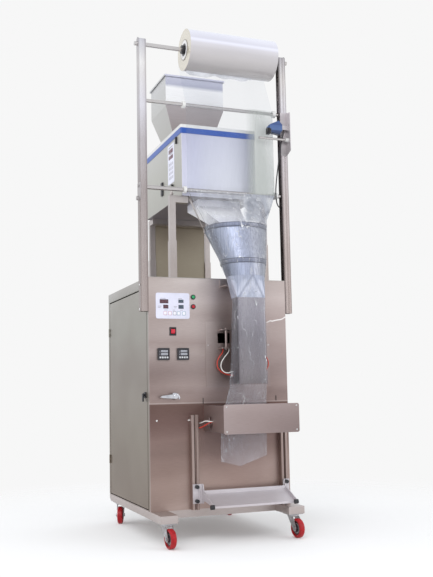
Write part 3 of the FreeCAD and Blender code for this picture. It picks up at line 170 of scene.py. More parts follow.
def grain(tree, stretch, scale, detail=3.0, turn=(0.0, 0.0, 0.0)):
    """Noise on object coordinates, stretched along an axis. Returns its value socket."""
    place = tree.nodes.new("ShaderNodeTexCoord")
    mapping = tree.nodes.new("ShaderNodeMapping")
    mapping.inputs["Scale"].default_value = stretch
    mapping.inputs["Rotation"].default_value = turn
    noise = tree.nodes.new("ShaderNodeTexNoise")
    noise.inputs["Scale"].default_value = scale
    noise.inputs["Detail"].default_value = detail
    tree.links.new(place.outputs["Object"], mapping.inputs["Vector"])
    tree.links.new(mapping.outputs["Vector"], noise.inputs["Vector"])
    return noise.outputs["Fac"]


def blend_colours(tree, value, stops):
    """A ramp over a value from a list of (place, colour code). Returns its colour socket."""
    ramp = tree.nodes.new("ShaderNodeValToRGB")
    while len(ramp.color_ramp.elements) < len(stops):
        ramp.color_ramp.elements.new(0.5)
    for element, (place, code) in zip(ramp.color_ramp.elements, stops):
        element.position = place
        element.color = colour(code)
    tree.links.new(value, ramp.inputs["Fac"])
    return ramp.outputs["Color"]


def multiply(tree, first, second):
    """One colour times another. Returns its colour socket."""
    node = tree.nodes.new("ShaderNodeMix")
    node.data_type = "RGBA"
    node.blend_type = "MULTIPLY"
    node.inputs["Factor"].default_value = 1.0
    tree.links.new(first, node.inputs["A"])
    tree.links.new(second, node.inputs["B"])
    return node.outputs["Result"]


def wire(tree, terms, sockets):
    """Feed each socket from its term: by a link from another socket, or else as a plain value."""
    for term, socket in zip(terms, sockets):
        if isinstance(term, bpy.types.NodeSocket):
            tree.links.new(term, socket)
        else:
            socket.default_value = term


def calc(tree, operation, *terms):
    """One step of arithmetic on sockets and numbers. Returns its value socket."""
    node = tree.nodes.new("ShaderNodeMath")
    node.operation = operation
    wire(tree, terms, node.inputs)
    return node.outputs[0]


def mix_colours(tree, share, first, second):
    """A share of the second colour over the first. Returns its colour socket."""
    node = tree.nodes.new("ShaderNodeMix")
    node.data_type = "RGBA"
    wire(tree, (share, first, second), (node.inputs["Factor"], node.inputs["A"], node.inputs["B"]))
    return node.outputs["Result"]


def spread(tree, value, low, high, start=0.0, end=1.0):
    """A value remapped from one range to another. Returns its value socket."""
    node = tree.nodes.new("ShaderNodeMapRange")
    node.inputs["From Min"].default_value = start
    node.inputs["From Max"].default_value = end
    node.inputs["To Min"].default_value = low
    node.inputs["To Max"].default_value = high
    tree.links.new(value, node.inputs["Value"])
    return node.outputs["Result"]


def add(tree, first, second, share=1.0):
    """One value plus a share of another, held between 0 and 1. Returns its value socket."""
    node = tree.nodes.new("ShaderNodeMath")
    node.operation = "MULTIPLY_ADD"
    node.use_clamp = True
    node.inputs[1].default_value = share
    tree.links.new(second, node.inputs[0])
    tree.links.new(first, node.inputs[2])
    return node.outputs[0]


def relief(tree, shader, value, depth):
    """Bump of a depth in metres from a value, chained onto any bump that the shader has."""
    bump = tree.nodes.new("ShaderNodeBump")
    bump.inputs["Distance"].default_value = depth
    bump.inputs["Strength"].default_value = 1.0
    tree.links.new(value, bump.inputs["Height"])
    socket = shader.inputs["Normal"]
    if socket.is_linked:
        tree.links.new(socket.links[0].from_socket, bump.inputs["Normal"])
    tree.links.new(bump.outputs["Normal"], socket)


def coordinate(tree, axis="Z", kind="Object"):
    """A point's own height, or its place, normal or UV along another axis. Returns its value socket."""
    place = tree.nodes.new("ShaderNodeTexCoord")
    split = tree.nodes.new("ShaderNodeSeparateXYZ")
    tree.links.new(place.outputs[kind], split.inputs["Vector"])
    return split.outputs[axis]


def by_place(tree, axis, stops, lean=0.0):
    """A colour that changes along an axis, leaning with height, from stops of (place in m, colour code)."""
    low, high = stops[0][0], stops[-1][0]
    ramp = [((place - low) / (high - low), code) for place, code in stops]
    place = coordinate(tree, axis)
    if lean:
        place = calc(tree, "MULTIPLY_ADD", coordinate(tree), -lean, place)
    return blend_colours(tree, spread(tree, place, 0.0, 1.0, low, high), ramp)


def brushed(name, stops, rough=0.36, metal=0.85, along="X", dents=0.0006, clouds="efecea", across=None):
    """Brushed sheet: colour by height in stops of (z in m, code), fine grain, clouds and soft dents."""
    paint, tree, shader = finish(name, stops[0][1], rough, metal)
    base = by_place(tree, "Z", stops)
    if across:
        base = multiply(tree, base, by_place(tree, "X", across))
    stretch = {"X": (1.0, 60.0, 60.0), "Y": (60.0, 1.0, 60.0), "Z": (60.0, 60.0, 1.0)}[along]
    lines = grain(tree, stretch, 34.0, 3.0)
    base = multiply(tree, base, blend_colours(tree, lines, [(0.3, "ebe9e8"), (0.7, "ffffff")]))
    cloud = grain(tree, (1.0, 1.0, 1.6), 2.4, 2.0)
    base = multiply(tree, base, blend_colours(tree, cloud, [(0.35, clouds), (0.65, "ffffff")]))
    tree.links.new(base, shader.inputs["Base Color"])
    tree.links.new(spread(tree, lines, rough - 0.05, rough + 0.06, 0.3, 0.7), shader.inputs["Roughness"])
    relief(tree, shader, grain(tree, even, 5.0, 1.0), dents)
    relief(tree, shader, lines, 0.00002)
    return paint


def dress(paint, *nodes):
    """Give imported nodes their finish."""
    for node in nodes:
        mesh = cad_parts[node].data
        mesh.materials.clear()
        mesh.materials.append(paint)


face_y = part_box("front_panel")[0][1]
# Painted shade: the front is darker from 0.38 m to 0.53 m, behind the jaw box, and right of the middle; the thin pale
# line at 0.538 m is a painted highlight on the hem.
front_steel = brushed("front_steel", [(0.12, "bfaba4"), (0.22, "c8b3ab"), (0.31, "c0aba4"), (0.38, "a18b85"),
                                      (0.46, "8b736e"), (0.53, "806963"), (0.5375, "8a736d"), (0.5385, "e2d6d2"),
                                      (0.5405, "b09e99"),
                                      (0.58, "aa9995"), (0.61, "bcaca8"), (0.66, "b4a5a2"), (0.75, "c4b7b4"),
                                      (0.95, "d5cac7"), (1.045, "d8cfcc")],
                      across=[(-0.3, "f0eeed"), (-0.1, "ffffff"), (0.06, "f0ecec"), (0.16, "e2dede"), (0.3, "e9e7e7")])
# Painted reflection: soft slanted hazy stripes of reflected light over the front.
reflection_waves = grain(front_steel.node_tree, (0.35, 1.0, 1.6), 2.6, 0.6, (0.0, math.radians(6), 0.0))
shader = front_steel.node_tree.nodes["Principled BSDF"]
steel_base = shader.inputs["Base Color"].links[0].from_socket
painted_haze_reflection = blend_colours(front_steel.node_tree, reflection_waves, [(0.30, "dcd8d7"), (0.42, "ffffff"), (0.52, "ebe7e6"),
                                                    (0.62, "ffffff"), (0.74, "e2dedd")])
steel_base = multiply(front_steel.node_tree, steel_base, painted_haze_reflection)
tree = front_steel.node_tree
# Painted highlight: a thin wavy line of reflected light along a dent line on the front's right part.
rise = spread(tree, coordinate(tree, "X"), 0.856, 0.882, 0.20, 0.30)
ripple = add(tree, rise, grain(tree, (9.0, 1.0, 1.0), 4.0, 1.0), 0.014)
gap = calc(tree, "SUBTRACT", coordinate(tree), ripple)
painted_crease_highlight = blend_colours(tree, spread(tree, gap, 0.0, 1.0, -0.012, 0.012), [
    (0.0, "000000"), (0.38, "303030"), (0.50, "ffffff"), (0.60, "404040"), (0.70, "000000")])
painted_crease_highlight = multiply(tree, painted_crease_highlight, by_place(tree, "X", [(0.165, "000000"), (0.20, "c0c0c0"), (0.24, "ffffff")]))
with_painted_crease_highlight = mix_colours(tree, painted_crease_highlight, steel_base, (1.0, 0.99, 0.98, 1.0))
tree.links.new(with_painted_crease_highlight, shader.inputs["Base Color"])
side_steel = brushed("side_steel", [(0.12, "8a7d71"), (0.4, "8d8478"), (0.7, "98918a"), (0.85, "a09d95"),
                                    (1.045, "b1afa9")],
                     rough=0.45, along="Y")
lid_steel = brushed("lid_steel", [(1.0, "a9a8a2"), (1.045, "b9b6b2")], along="Y", dents=0.0003)
base_steel = brushed("base_steel", [(0.09, "bdb3b0"), (0.122, "c6bcb9")], rough=0.4, dents=0.0002)
dress(front_steel, "front_panel")
dress(side_steel, "back_panel", "left_panel", "right_panel", "left_door")
dress(lid_steel, "top_lid")
dress(base_steel, "base_frame")

bpy.context.tool_settings.mesh_select_mode = (False, False, True)


def plate(name, low, high, paint, soft=0.6, body="frame"):
    """A small moulded or cut block between two corners in mm, with its edges rounded."""
    a, b = metres(*low), metres(*high)
    bpy.ops.object.select_all(action="DESELECT")
    bpy.ops.mesh.primitive_cube_add(size=1.0)
    piece = bpy.context.object
    piece.name = name
    piece.data.transform(Matrix.Translation((a + b) / 2.0) @ Matrix.Diagonal((b - a)).to_4x4())
    bpy.ops.object.modifier_add(type="BEVEL")
    piece.modifiers[-1].width = soft / 1000.0
    piece.modifiers[-1].segments = 2
    bpy.ops.object.modifier_apply(modifier=piece.modifiers[-1].name)
    bpy.ops.object.shade_smooth_by_angle(angle=math.radians(40))
    piece.data.materials.append(paint)
    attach(piece, body)
    return piece


def merge(name, pieces):
    """Several pieces as one named mesh, on the body that the first rides on."""
    bpy.ops.object.select_all(action="DESELECT")
    for piece in pieces:
        piece.select_set(True)
    bpy.context.view_layer.objects.active = pieces[0]
    bpy.ops.object.join()
    bpy.context.object.name = name
    return bpy.context.object


def heads(name, spots, out, radius, high, paint, body="frame"):
    """Screw heads at places in mm, facing one way, each with a rounded rim and a sunk drive."""
    made = []
    for spot in spots:
        bpy.ops.object.select_all(action="DESELECT")
        bpy.ops.mesh.primitive_cylinder_add(vertices=24, radius=radius / 1000.0, depth=high / 1000.0,
                                            location=(0, 0, 0))
        head = bpy.context.object
        head.data.transform(Matrix.Translation((0, 0, high / 2000.0)))
        bpy.ops.object.modifier_add(type="BEVEL")
        head.modifiers[-1].width = high / 3000.0
        head.modifiers[-1].segments = 2
        bpy.ops.object.modifier_apply(modifier=head.modifiers[-1].name)
        for face in head.data.polygons:
            face.select = face.normal.z > 0.99
        bpy.ops.object.mode_set(mode="EDIT")
        bpy.ops.mesh.inset(thickness=radius * 0.4 / 1000.0)
        bpy.ops.transform.translate(value=(0, 0, -high * 0.45 / 1000.0))
        bpy.ops.object.mode_set(mode="OBJECT")
        turn = Vector(out).to_track_quat("Z", "Y").to_matrix().to_4x4()
        head.data.transform(Matrix.Translation(metres(*spot)) @ turn)
        bpy.ops.object.shade_smooth_by_angle(angle=math.radians(40))
        head.data.materials.append(paint)
        made.append(head)
    group = merge(name, made)
    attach(group, body)
    return group


front = (0.0, -1.0, 0.0)
screw_steel, tree, shader = finish("screw_steel", "dcdad9", 0.25, 0.8)
worn = grain(tree, even, 400.0, 2.0)
tree.links.new(blend_colours(tree, worn, [(0.3, "b9b6b5"), (0.7, "e9e8e8")]), shader.inputs["Base Color"])
heads("panel_screws", [(-52, 0, 771), (216, 0, 772), (-273, 0, 473), (-140, 0, 472)], front, 4.0, 2.4, screw_steel)
panel_tabs, tree, shader = finish("panel_tabs", "3a3231", 0.5, 0.4)
tree.links.new(blend_colours(tree, grain(tree, even, 90.0, 2.0), [(0.3, "2c2625"), (0.7, "4a4140")]),
               shader.inputs["Base Color"])
merge("jaw_guide_tabs", [plate("tab_left", (-78.5, -2.0, 533), (-75.5, 0, 559), panel_tabs),
                         plate("tab_right", (244.5, -2.0, 541), (247.5, 0, 562), panel_tabs)])

# Posts, bars and sensor
# Two stainless channels stand on the cabinet's front corners, with polished round bars between them.
# A folded bracket on the right one carries a short bar and a blue plastic print mark sensor.
# Painted reflection and shade: the posts are painted paler and bluish towards their tops, with pale edge highlights
# across their width and painted shade on the right post's left face.
post_steel = brushed("post_steel", [(0.9, "bdb1ad"), (1.4, "bcb4b3"), (1.6, "cac5c8"), (1.78, "f4f4fc"),
                                    (1.93, "ffffff"), (2.04, "d3d3da")], rough=0.26, along="Z", dents=0.0004,
                     across=[(-0.332, "d0cccb"), (-0.326, "ffffff"), (-0.308, "f4f2f2"), (-0.302, "cfcbca"),
                             (0.302, "8f8c8d"), (0.306, "d8d4d4"), (0.311, "ffffff"), (0.318, "d2cecd"),
                             (0.327, "f8f6f6"), (0.332, "a5a1a0")])
bracket_steel = brushed("bracket_steel", [(1.35, "b0acad"), (1.60, "aba7a9"), (1.64, "c9c5c8"), (1.78, "d6d2d7")],
                        rough=0.4, metal=0.5, along="Z", dents=0.0002)
bar_steel = brushed("bar_steel", [(1.4, "cfcbca"), (1.8, "d6d3d2")], rough=0.2, metal=1.0, along="X", dents=0.0)


def moulded(name, code, rough=0.45, specks=0.00006):
    """Moulded plastic: one colour a little uneven, with a fine moulded skin."""
    paint, tree, shader = finish(name, code, rough)
    uneven = grain(tree, even, 30.0, 2.0)
    dark = [c * 0.86 for c in colour(code)[:3]] + [1.0]
    light = [min(1.0, c * 1.1) for c in colour(code)[:3]] + [1.0]
    base = mix_colours(tree, uneven, dark, light)
    tree.links.new(base, shader.inputs["Base Color"])
    tree.links.new(spread(tree, uneven, rough - 0.06, rough + 0.08), shader.inputs["Roughness"])
    relief(tree, shader, grain(tree, even, 900.0, 1.0), specks)
    return paint


black_plastic = moulded("black_plastic", "232226")
white_plastic = moulded("white_plastic", "d9d8d6", 0.4)
blue_plastic = moulded("blue_plastic", "4a6492", 0.35)
dress(post_steel, "film_posts")
dress(bar_steel, "guide_bars")
dress(white_plastic, "bar_collars")
shader = blue_plastic.node_tree.nodes["Principled BSDF"]
blue_base = shader.inputs["Base Color"].links[0].from_socket
# Painted shade and highlight: the sensor is painted darker low down, with a thin white highlight along each edge of
# its facets.
painted_sensor_shading = by_place(blue_plastic.node_tree, "Z", [(1.673, "747a88"), (1.690, "9aa4ba"), (1.6915, "ffffff"),
                                                (1.713, "e4eaf8"), (1.7145, "b5c0d8"), (1.735, "dfe6f5")])
blue_plastic.node_tree.links.new(multiply(blue_plastic.node_tree, blue_base, painted_sensor_shading), shader.inputs["Base Color"])
dress(blue_plastic, "mark_sensor")
dress(bracket_steel, "film_bracket", "tension_plate")

heads("post_bolts", [(-332, 12, 1013), (-332, 12, 914)], (-1.0, 0.0, 0.0), 5.0, 2.6, screw_steel)
heads("post_bolts_right", [(332, 15, 1013), (332, 15, 914)], (1.0, 0.0, 0.0), 5.0, 2.6, screw_steel)
lens_black = moulded("lens_black", "141319", 0.2, fine_skin)
merge("sensor_lens", [plate("lens_block", (226.5, -31, 1673), (241, -9, 1700), lens_black, 2.0),
                      plate("lens_cap", (231, -33.2, 1677), (243, -30, 1696), lens_black, 1.2)])

# Film roll
# Clear film wound on a paper core, so deep that it turns bluish white; its wound ends are creamy, and its shading
# round the roll is painted.
# It sits between black cones on a steel shaft.


def from_axle(tree):
    """How far a point is from the film roll's axle. Returns its value socket."""
    place = tree.nodes.new("ShaderNodeTexCoord")
    axle = tree.nodes.new("ShaderNodeMapping")
    axle.inputs["Location"].default_value = (0.0, -(face_y + 0.015), -2.013)
    flat = tree.nodes.new("ShaderNodeVectorMath")
    flat.operation = "MULTIPLY"
    flat.inputs[1].default_value = (0.0, 1.0, 1.0)
    out_from_axle = tree.nodes.new("ShaderNodeVectorMath")
    out_from_axle.operation = "LENGTH"
    tree.links.new(place.outputs["Object"], axle.inputs["Vector"])
    tree.links.new(axle.outputs["Vector"], flat.inputs[0])
    tree.links.new(flat.outputs["Vector"], out_from_axle.inputs[0])
    return out_from_axle.outputs["Value"]


roll_film, tree, shader = finish("roll_film", "c9cad0", 0.22)
shader.inputs["Coat Weight"].default_value = 0.6
shader.inputs["Coat Roughness"].default_value = 0.08
layers = tree.nodes.new("ShaderNodeTexNoise")
layers.noise_dimensions = "1D"
layers.inputs["Scale"].default_value = 420.0
layers.inputs["Detail"].default_value = 4.0
tree.links.new(from_axle(tree), layers.inputs["W"])
ends = blend_colours(tree, layers.outputs["Fac"], [(0.3, "b5ac9b"), (0.7, "d9d2c2")])
# Painted shade and light: the wound film is painted darker where it faces down, with a pale bluish stripe of light
# just above its middle.
painted_roll_shading = blend_colours(tree, spread(tree, coordinate(tree, "Z", "Normal"), 0.0, 1.0, -1.0, 1.0), [
    (0.0, "b0abaa"), (0.22, "bab5b5"), (0.40, "bfbbbd"), (0.52, "cbc8cd"), (0.60, "e2e2ee"), (0.66, "d0cfd9"),
    (0.80, "d9d9e4"), (1.0, "dddeea")])
uneven = grain(tree, (0.5, 3.0, 3.0), 4.0, 3.0)
painted_roll_shading = multiply(tree, painted_roll_shading, blend_colours(tree, uneven, [(0.3, "f2f2f3"), (0.7, "ffffff")]))
facing = calc(tree, "ABSOLUTE", coordinate(tree, "X", "Normal"))
both = mix_colours(tree, spread(tree, facing, 0.0, 1.0, 0.5, 0.9), painted_roll_shading, ends)
tree.links.new(both, shader.inputs["Base Color"])
relief(tree, shader, grain(tree, (0.6, 2.0, 2.0), 12.0, 2.0), 0.0008)
dress(roll_film, "film_roll")
dress(bar_steel, "roll_shaft")
core_ring, tree, shader = finish("core_ring", "d8d6d4", 0.35)
rings = blend_colours(tree, spread(tree, from_axle(tree), 0.0, 1.0, 0.0, 0.043), [
    (0.0, "1c1b1f"), (0.56, "26252a"), (0.60, "6f6d70"), (0.64, "dad8d8"), (0.90, "e6e4e2"), (0.94, "8b8580")])
tree.links.new(rings, shader.inputs["Base Color"])
relief(tree, shader, grain(tree, even, 300.0, 1.0), 0.00004)
dress(core_ring, "roll_cones")

# Weigh feeder and hopper
# A case of thin satin steel on a stand, with a blue trim strip under a white lid, a flat keypad
# on its left face, and a folded hopper of four sloping sheets above it.
feeder_steel, tree, shader = finish("feeder_steel", "c6c6cf", 0.4, 0.2)
sideways = calc(tree, "ABSOLUTE", coordinate(tree, "X", "Normal"))
# Painted light and shade: front faces get pale lit tones, palest in the middle, and side faces a darker khaki shade;
# sideways picks between them.
front_painted_shading = by_place(tree, "X", [(-0.14, "d6d6e6"), (-0.08, "dadaea"), (-0.02, "e2e2ec"), (0.06, "e6e6ed"),
                                  (0.13, "dcdce4"), (0.2, "d4d4de")])
front_painted_shading = multiply(tree, front_painted_shading, by_place(tree, "Z", [(1.39, "ffffff"), (1.5, "f6f6f7"), (1.69, "dfdfe6")]))
side_painted_shading = by_place(tree, "Z", [(1.39, "a8a69e"), (1.55, "b2b1a9"), (1.69, "bdbcb8")])
both = mix_colours(tree, spread(tree, sideways, 0.0, 1.0, 0.3, 0.7), front_painted_shading, side_painted_shading)
streak = grain(tree, (60.0, 60.0, 1.0), 20.0, 3.0)
base = multiply(tree, both, blend_colours(tree, streak, [(0.3, "f0f0f1"), (0.7, "ffffff")]))
# Painted shade: faces that point down, under the feeder, are painted dark brown.
facing_down = spread(tree, coordinate(tree, "Z", "Normal"), 0.0, 1.0, -0.9, -0.3)
below = blend_colours(tree, facing_down, [(0.0, "8f8681"), (1.0, "ffffff")])
base = multiply(tree, base, below)
tree.links.new(base, shader.inputs["Base Color"])
relief(tree, shader, grain(tree, even, 5.0, 1.0), 0.0003)
hopper_steel, tree, shader = finish("hopper_steel", "d5d6dc", 0.34, 0.12)
# Painted light and shade: on the hopper's front faces the funnel is painted in shade, with a white stripe of painted
# light above it under a bluish rim; the side faces are a plainer grey.
front_painted_shading = blend_colours(tree, spread(tree, coordinate(tree), 0.0, 1.0, 1.70, 2.027), [
    (0.0, "9a8f8e"), (0.30, "a59b9b"), (0.58, "b3abad"), (0.61, "f0f0f2"), (0.64, "ffffff"), (0.82, "ffffff"),
    (0.87, "babccd"), (1.0, "d3d4e4")])
side_painted_shading = blend_colours(tree, spread(tree, coordinate(tree), 0.0, 1.0, 1.70, 2.027), [
    (0.0, "b3b0aa"), (0.6, "b9b8b5"), (1.0, "c3c3c4")])
both = mix_colours(tree, spread(tree, coordinate(tree, "Y", "Normal"), 0.0, 1.0, -0.35, -0.15), front_painted_shading, side_painted_shading)
streak = grain(tree, (1.0, 60.0, 60.0), 20.0, 3.0)
base = multiply(tree, both, blend_colours(tree, streak, [(0.3, "eeeeee"), (0.7, "ffffff")]))
tree.links.new(base, shader.inputs["Base Color"])
relief(tree, shader, grain(tree, even, 5.0, 1.0), 0.0004)
stand_steel = brushed("stand_steel", [(1.04, "b9afab"), (1.4, "c2bcba")], rough=0.32, along="Z", dents=0.0)
blue_trim = moulded("blue_trim", "2450a4", 0.3)
chute_steel = brushed("chute_steel", [(1.262, "f0f0fa"), (1.33, "ffffff"), (1.395, "ececf6")], rough=0.45, metal=0.05,
                      clouds="f6f6f8")
keypad_film = moulded("keypad_film", "e2e3f1", 0.3, fine_skin)
dress(feeder_steel, "feeder_housing")
dress(blue_trim, "feeder_trim")
dress(white_plastic, "feeder_lid")
dress(keypad_film, "feeder_keypad")
dress(hopper_steel, "hopper")
pad_x = -141.5
pad_dark = moulded("pad_dark", "6b4450", 0.25, fine_skin)
pad_key = moulded("pad_key", "c3c2cd", 0.4, fine_skin)
pad_rim = moulded("pad_rim", "8f8d90", 0.4, fine_skin)
pads = []
for y0, y1, z0, z1, paint in ((148, 206, 1612, 1630, pad_dark), (148, 206, 1586, 1602, pad_dark),
                              (150, 206, 1636, 1640, pad_rim), (150, 190, 1606, 1609, pad_rim)):
    pads.append(plate("pad", (pad_x - 0.5, y0, z0), (pad_x + 0.2, y1, z1), paint, 0.25))
for row in range(4):
    for y0 in (148, 168, 188):
        pads.append(plate("pad", (pad_x - 0.8, y0, 1558 - row * 20), (pad_x + 0.2, y0 + 14, 1570 - row * 20), pad_key,
                          0.5))
merge("feeder_pad_keys", pads)
dress(chute_steel, "discharge_chute")
dress(stand_steel, "feeder_stand")
rear_steel = brushed("rear_steel", [(1.045, "a39a88"), (1.2, "a89f8d"), (1.37, "9b9180")], rough=0.5, metal=0.5,
                     dents=0.0002)
dress(rear_steel, "rear_plate")

# Former
# A cone rolled from sheet and stiffened by hoops, its foot folded square onto the forming tube.
# The film slides over it; the stripes of reflection on its foremost strip and its neck are painted into the steel's
# colour.
cone_steel, tree, shader = finish("cone_steel", "b9bdcb", 0.36, 0.35)
# Painted reflection: colour set by which way each face turns, dark at the cone's left edge and pale bluish stripes
# towards the front.
painted_reflection_bands = blend_colours(tree, spread(tree, coordinate(tree, "X", "Normal"), 0.0, 1.0, -1.0, 1.0), [
    (0.0, "6f707a"), (0.022, "6e7280"), (0.06, "969cab"), (0.11, "afb4c4"), (0.165, "bac0d2"), (0.26, "abb1c5"),
    (0.354, "c0c5d8"), (0.5, "bcbfce"), (0.58, "c1c2cc"), (0.757, "b0b1b9"), (1.0, "a9aaac")])
streak = grain(tree, (40.0, 40.0, 1.0), 6.0, 3.0)
base = multiply(tree, painted_reflection_bands, blend_colours(tree, streak, [(0.35, "d3d3d6"), (0.65, "ffffff")]))
hoops = by_place(tree, "Z", [(1.09, "ffffff"), (1.0915, "64646a"), (1.095, "bcbcc1"), (1.108, "d2d2d6"),
                             (1.1105, "606066"), (1.1125, "ffffff"), (1.2425, "ffffff"), (1.244, "5a5a60"),
                             (1.248, "b8b8bd"), (1.259, "d6d6da"), (1.2615, "6c6c72"), (1.263, "c0c0c4")])
base = multiply(tree, base, hoops)
tree.links.new(base, shader.inputs["Base Color"])
relief(tree, shader, streak, 0.00006)
# Painted shade: the tube is painted darker along its left side face and towards its foot.
tube_steel = brushed("tube_steel", [(0.6, "948d8d"), (0.66, "a19a9b"), (0.80, "9c979b"), (0.96, "bab5ba")], rough=0.3,
                     along="Z", dents=0.0004, across=[(0.018, "8a8689"), (0.026, "f2f0f2"), (0.05, "ffffff"),
                                                      (0.11, "f0eef0"), (0.136, "ffffff"), (0.142, "c5c2c5")])
dress(cone_steel, "former_cone")
neck_steel, tree, shader = finish("neck_steel", "b4b9cc", 0.3, 0.45)
tall = spread(tree, coordinate(tree), 0.0, 0.05, 1.036, 0.953)
aside = calc(tree, "ABSOLUTE", calc(tree, "SUBTRACT", coordinate(tree, "X"), 0.08))
inside = calc(tree, "SUBTRACT", tall, aside)
# Painted reflection: a pale V-shaped facet and darker stripes on the neck.
painted_neck_reflection = blend_colours(tree, spread(tree, inside, 0.0, 1.0, -0.03, 0.03), [
    (0.0, "b8bccb"), (0.30, "cacedc"), (0.44, "a7abbb"), (0.60, "dcdee9"), (0.80, "e4e5ee"), (1.0, "d0d3df")])
base = multiply(tree, painted_neck_reflection, blend_colours(tree, grain(tree, (40.0, 40.0, 1.0), 6.0, 3.0), [(0.35, "e6e6ea"),
                                                                                           (0.65, "ffffff")]))
tree.links.new(base, shader.inputs["Base Color"])
relief(tree, shader, grain(tree, even, 14.0, 2.0), 0.0008)
dress(neck_steel, "former_neck")
dress(tube_steel, "forming_tube")
dress(stand_steel, "former_brackets")

# Sealers and jaws
# Machined plates in front of a window in the panel, a heated bar that seals the film's back seam,
# and below it a folded box round the two cross jaws.
sealer_steel = brushed("sealer_steel", [(0.42, "ab9c9a"), (0.50, "b3a4a2"), (0.54, "bbacaa"), (0.88, "c4bbb9")],
                       rough=0.34, dents=0.0003, across=[(-0.08, "ffffff"), (0.08, "f4f2f2"), (0.24, "e2dfdf")])
mount_steel = brushed("mount_steel", [(0.60, "b3a4a1"), (0.66, "b0a19e"), (0.75, "bdb0ad"), (0.87, "cabebb")],
                      rough=0.36, across=[(-0.065, "ffffff"), (0.06, "eeeaea"), (0.225, "dedada")])
dress(mount_steel, "sealer_mount")
dress(sealer_steel, "sealing_bar", "sealing_jaws")
jaw_steel = brushed("jaw_steel", [(0.42, "ab9c9a"), (0.50, "b3a4a2"), (0.54, "bbacaa")], rough=0.34, dents=0.0003,
                    across=[(-0.08, "ffffff"), (0.08, "f4f2f2"), (0.24, "e2dfdf")])
tree = jaw_steel.node_tree
shader = tree.nodes["Principled BSDF"]
steel_base = shader.inputs["Base Color"].links[0].from_socket
place = tree.nodes.new("ShaderNodeTexCoord")
socket = place.outputs["Object"]
for operation, amount in (("SUBTRACT", (0.0805, 0.0, 0.4775)), ("ABSOLUTE", None), ("SUBTRACT", (0.1465, 0.0, 0.0465)),
                          ("MULTIPLY", (1.0, 0.0, 1.0)), ("LENGTH", None)):
    step = tree.nodes.new("ShaderNodeVectorMath")
    step.operation = operation
    if amount:
        step.inputs[1].default_value = amount
    tree.links.new(socket, step.inputs[0])
    socket = step.outputs["Value" if operation == "LENGTH" else "Vector"]
# Four flush screw heads are painted on the jaw box's front: light steel faces, with painted shade in their drives and
# in a dark ring round each rim.
from_screw = spread(tree, socket, 0.0, 1.0, 0.0, 0.005)
screw_colour_and_shade = blend_colours(tree, from_screw, [(0.0, "6f6866"), (0.26, "6f6866"), (0.32, "e6e3e2"), (0.56, "f2f0ef"),
                                              (0.64, "5a504e"), (0.74, "857a78")])
on_screw = blend_colours(tree, from_screw, [(0.0, "ffffff"), (0.70, "ffffff"), (0.80, "000000"), (1.0, "000000")])
screwed = mix_colours(tree, on_screw, steel_base, screw_colour_and_shade)
tree.links.new(screwed, shader.inputs["Base Color"])
relief(tree, shader, on_screw, 0.0006)
dress(jaw_steel, "jaw_box")

# Tray
# A bent sheet between end plates that slide up and down on two channels, held by black knobs.
# The finished bag drops on it.
tray_steel = brushed("tray_steel", [(0.138, "d0cacf"), (0.2, "dad6dc")], rough=0.42, metal=0.3, dents=0.0001)
# Painted shade: a dark stripe down the groove of each rail.
rail_steel = brushed("rail_steel", [(0.12, "b5a29c"), (0.5, "c8b8b3")], rough=0.32, along="Z", dents=0.0,
                     across=[(-0.137, "f0edec"), (-0.127, "ffffff"), (-0.125, "6d6361"), (-0.121, "6d6361"),
                             (-0.119, "ffffff"), (-0.107, "cfc9c7"), (0.251, "cfc9c7"), (0.263, "ffffff"),
                             (0.265, "6d6361"), (0.269, "6d6361"), (0.271, "ffffff"), (0.281, "e2dddb")])
dress(rail_steel, "tray_rails")
dress(tray_steel, "bag_tray")
dress(black_plastic, "tray_knobs")

# Film
# One web of clear plastic film: from the roll over the bars, over the cone, and down as a bag.
# It is nearly clear, a little milky where it is stretched, and creased, with painted glints of light at its folds.


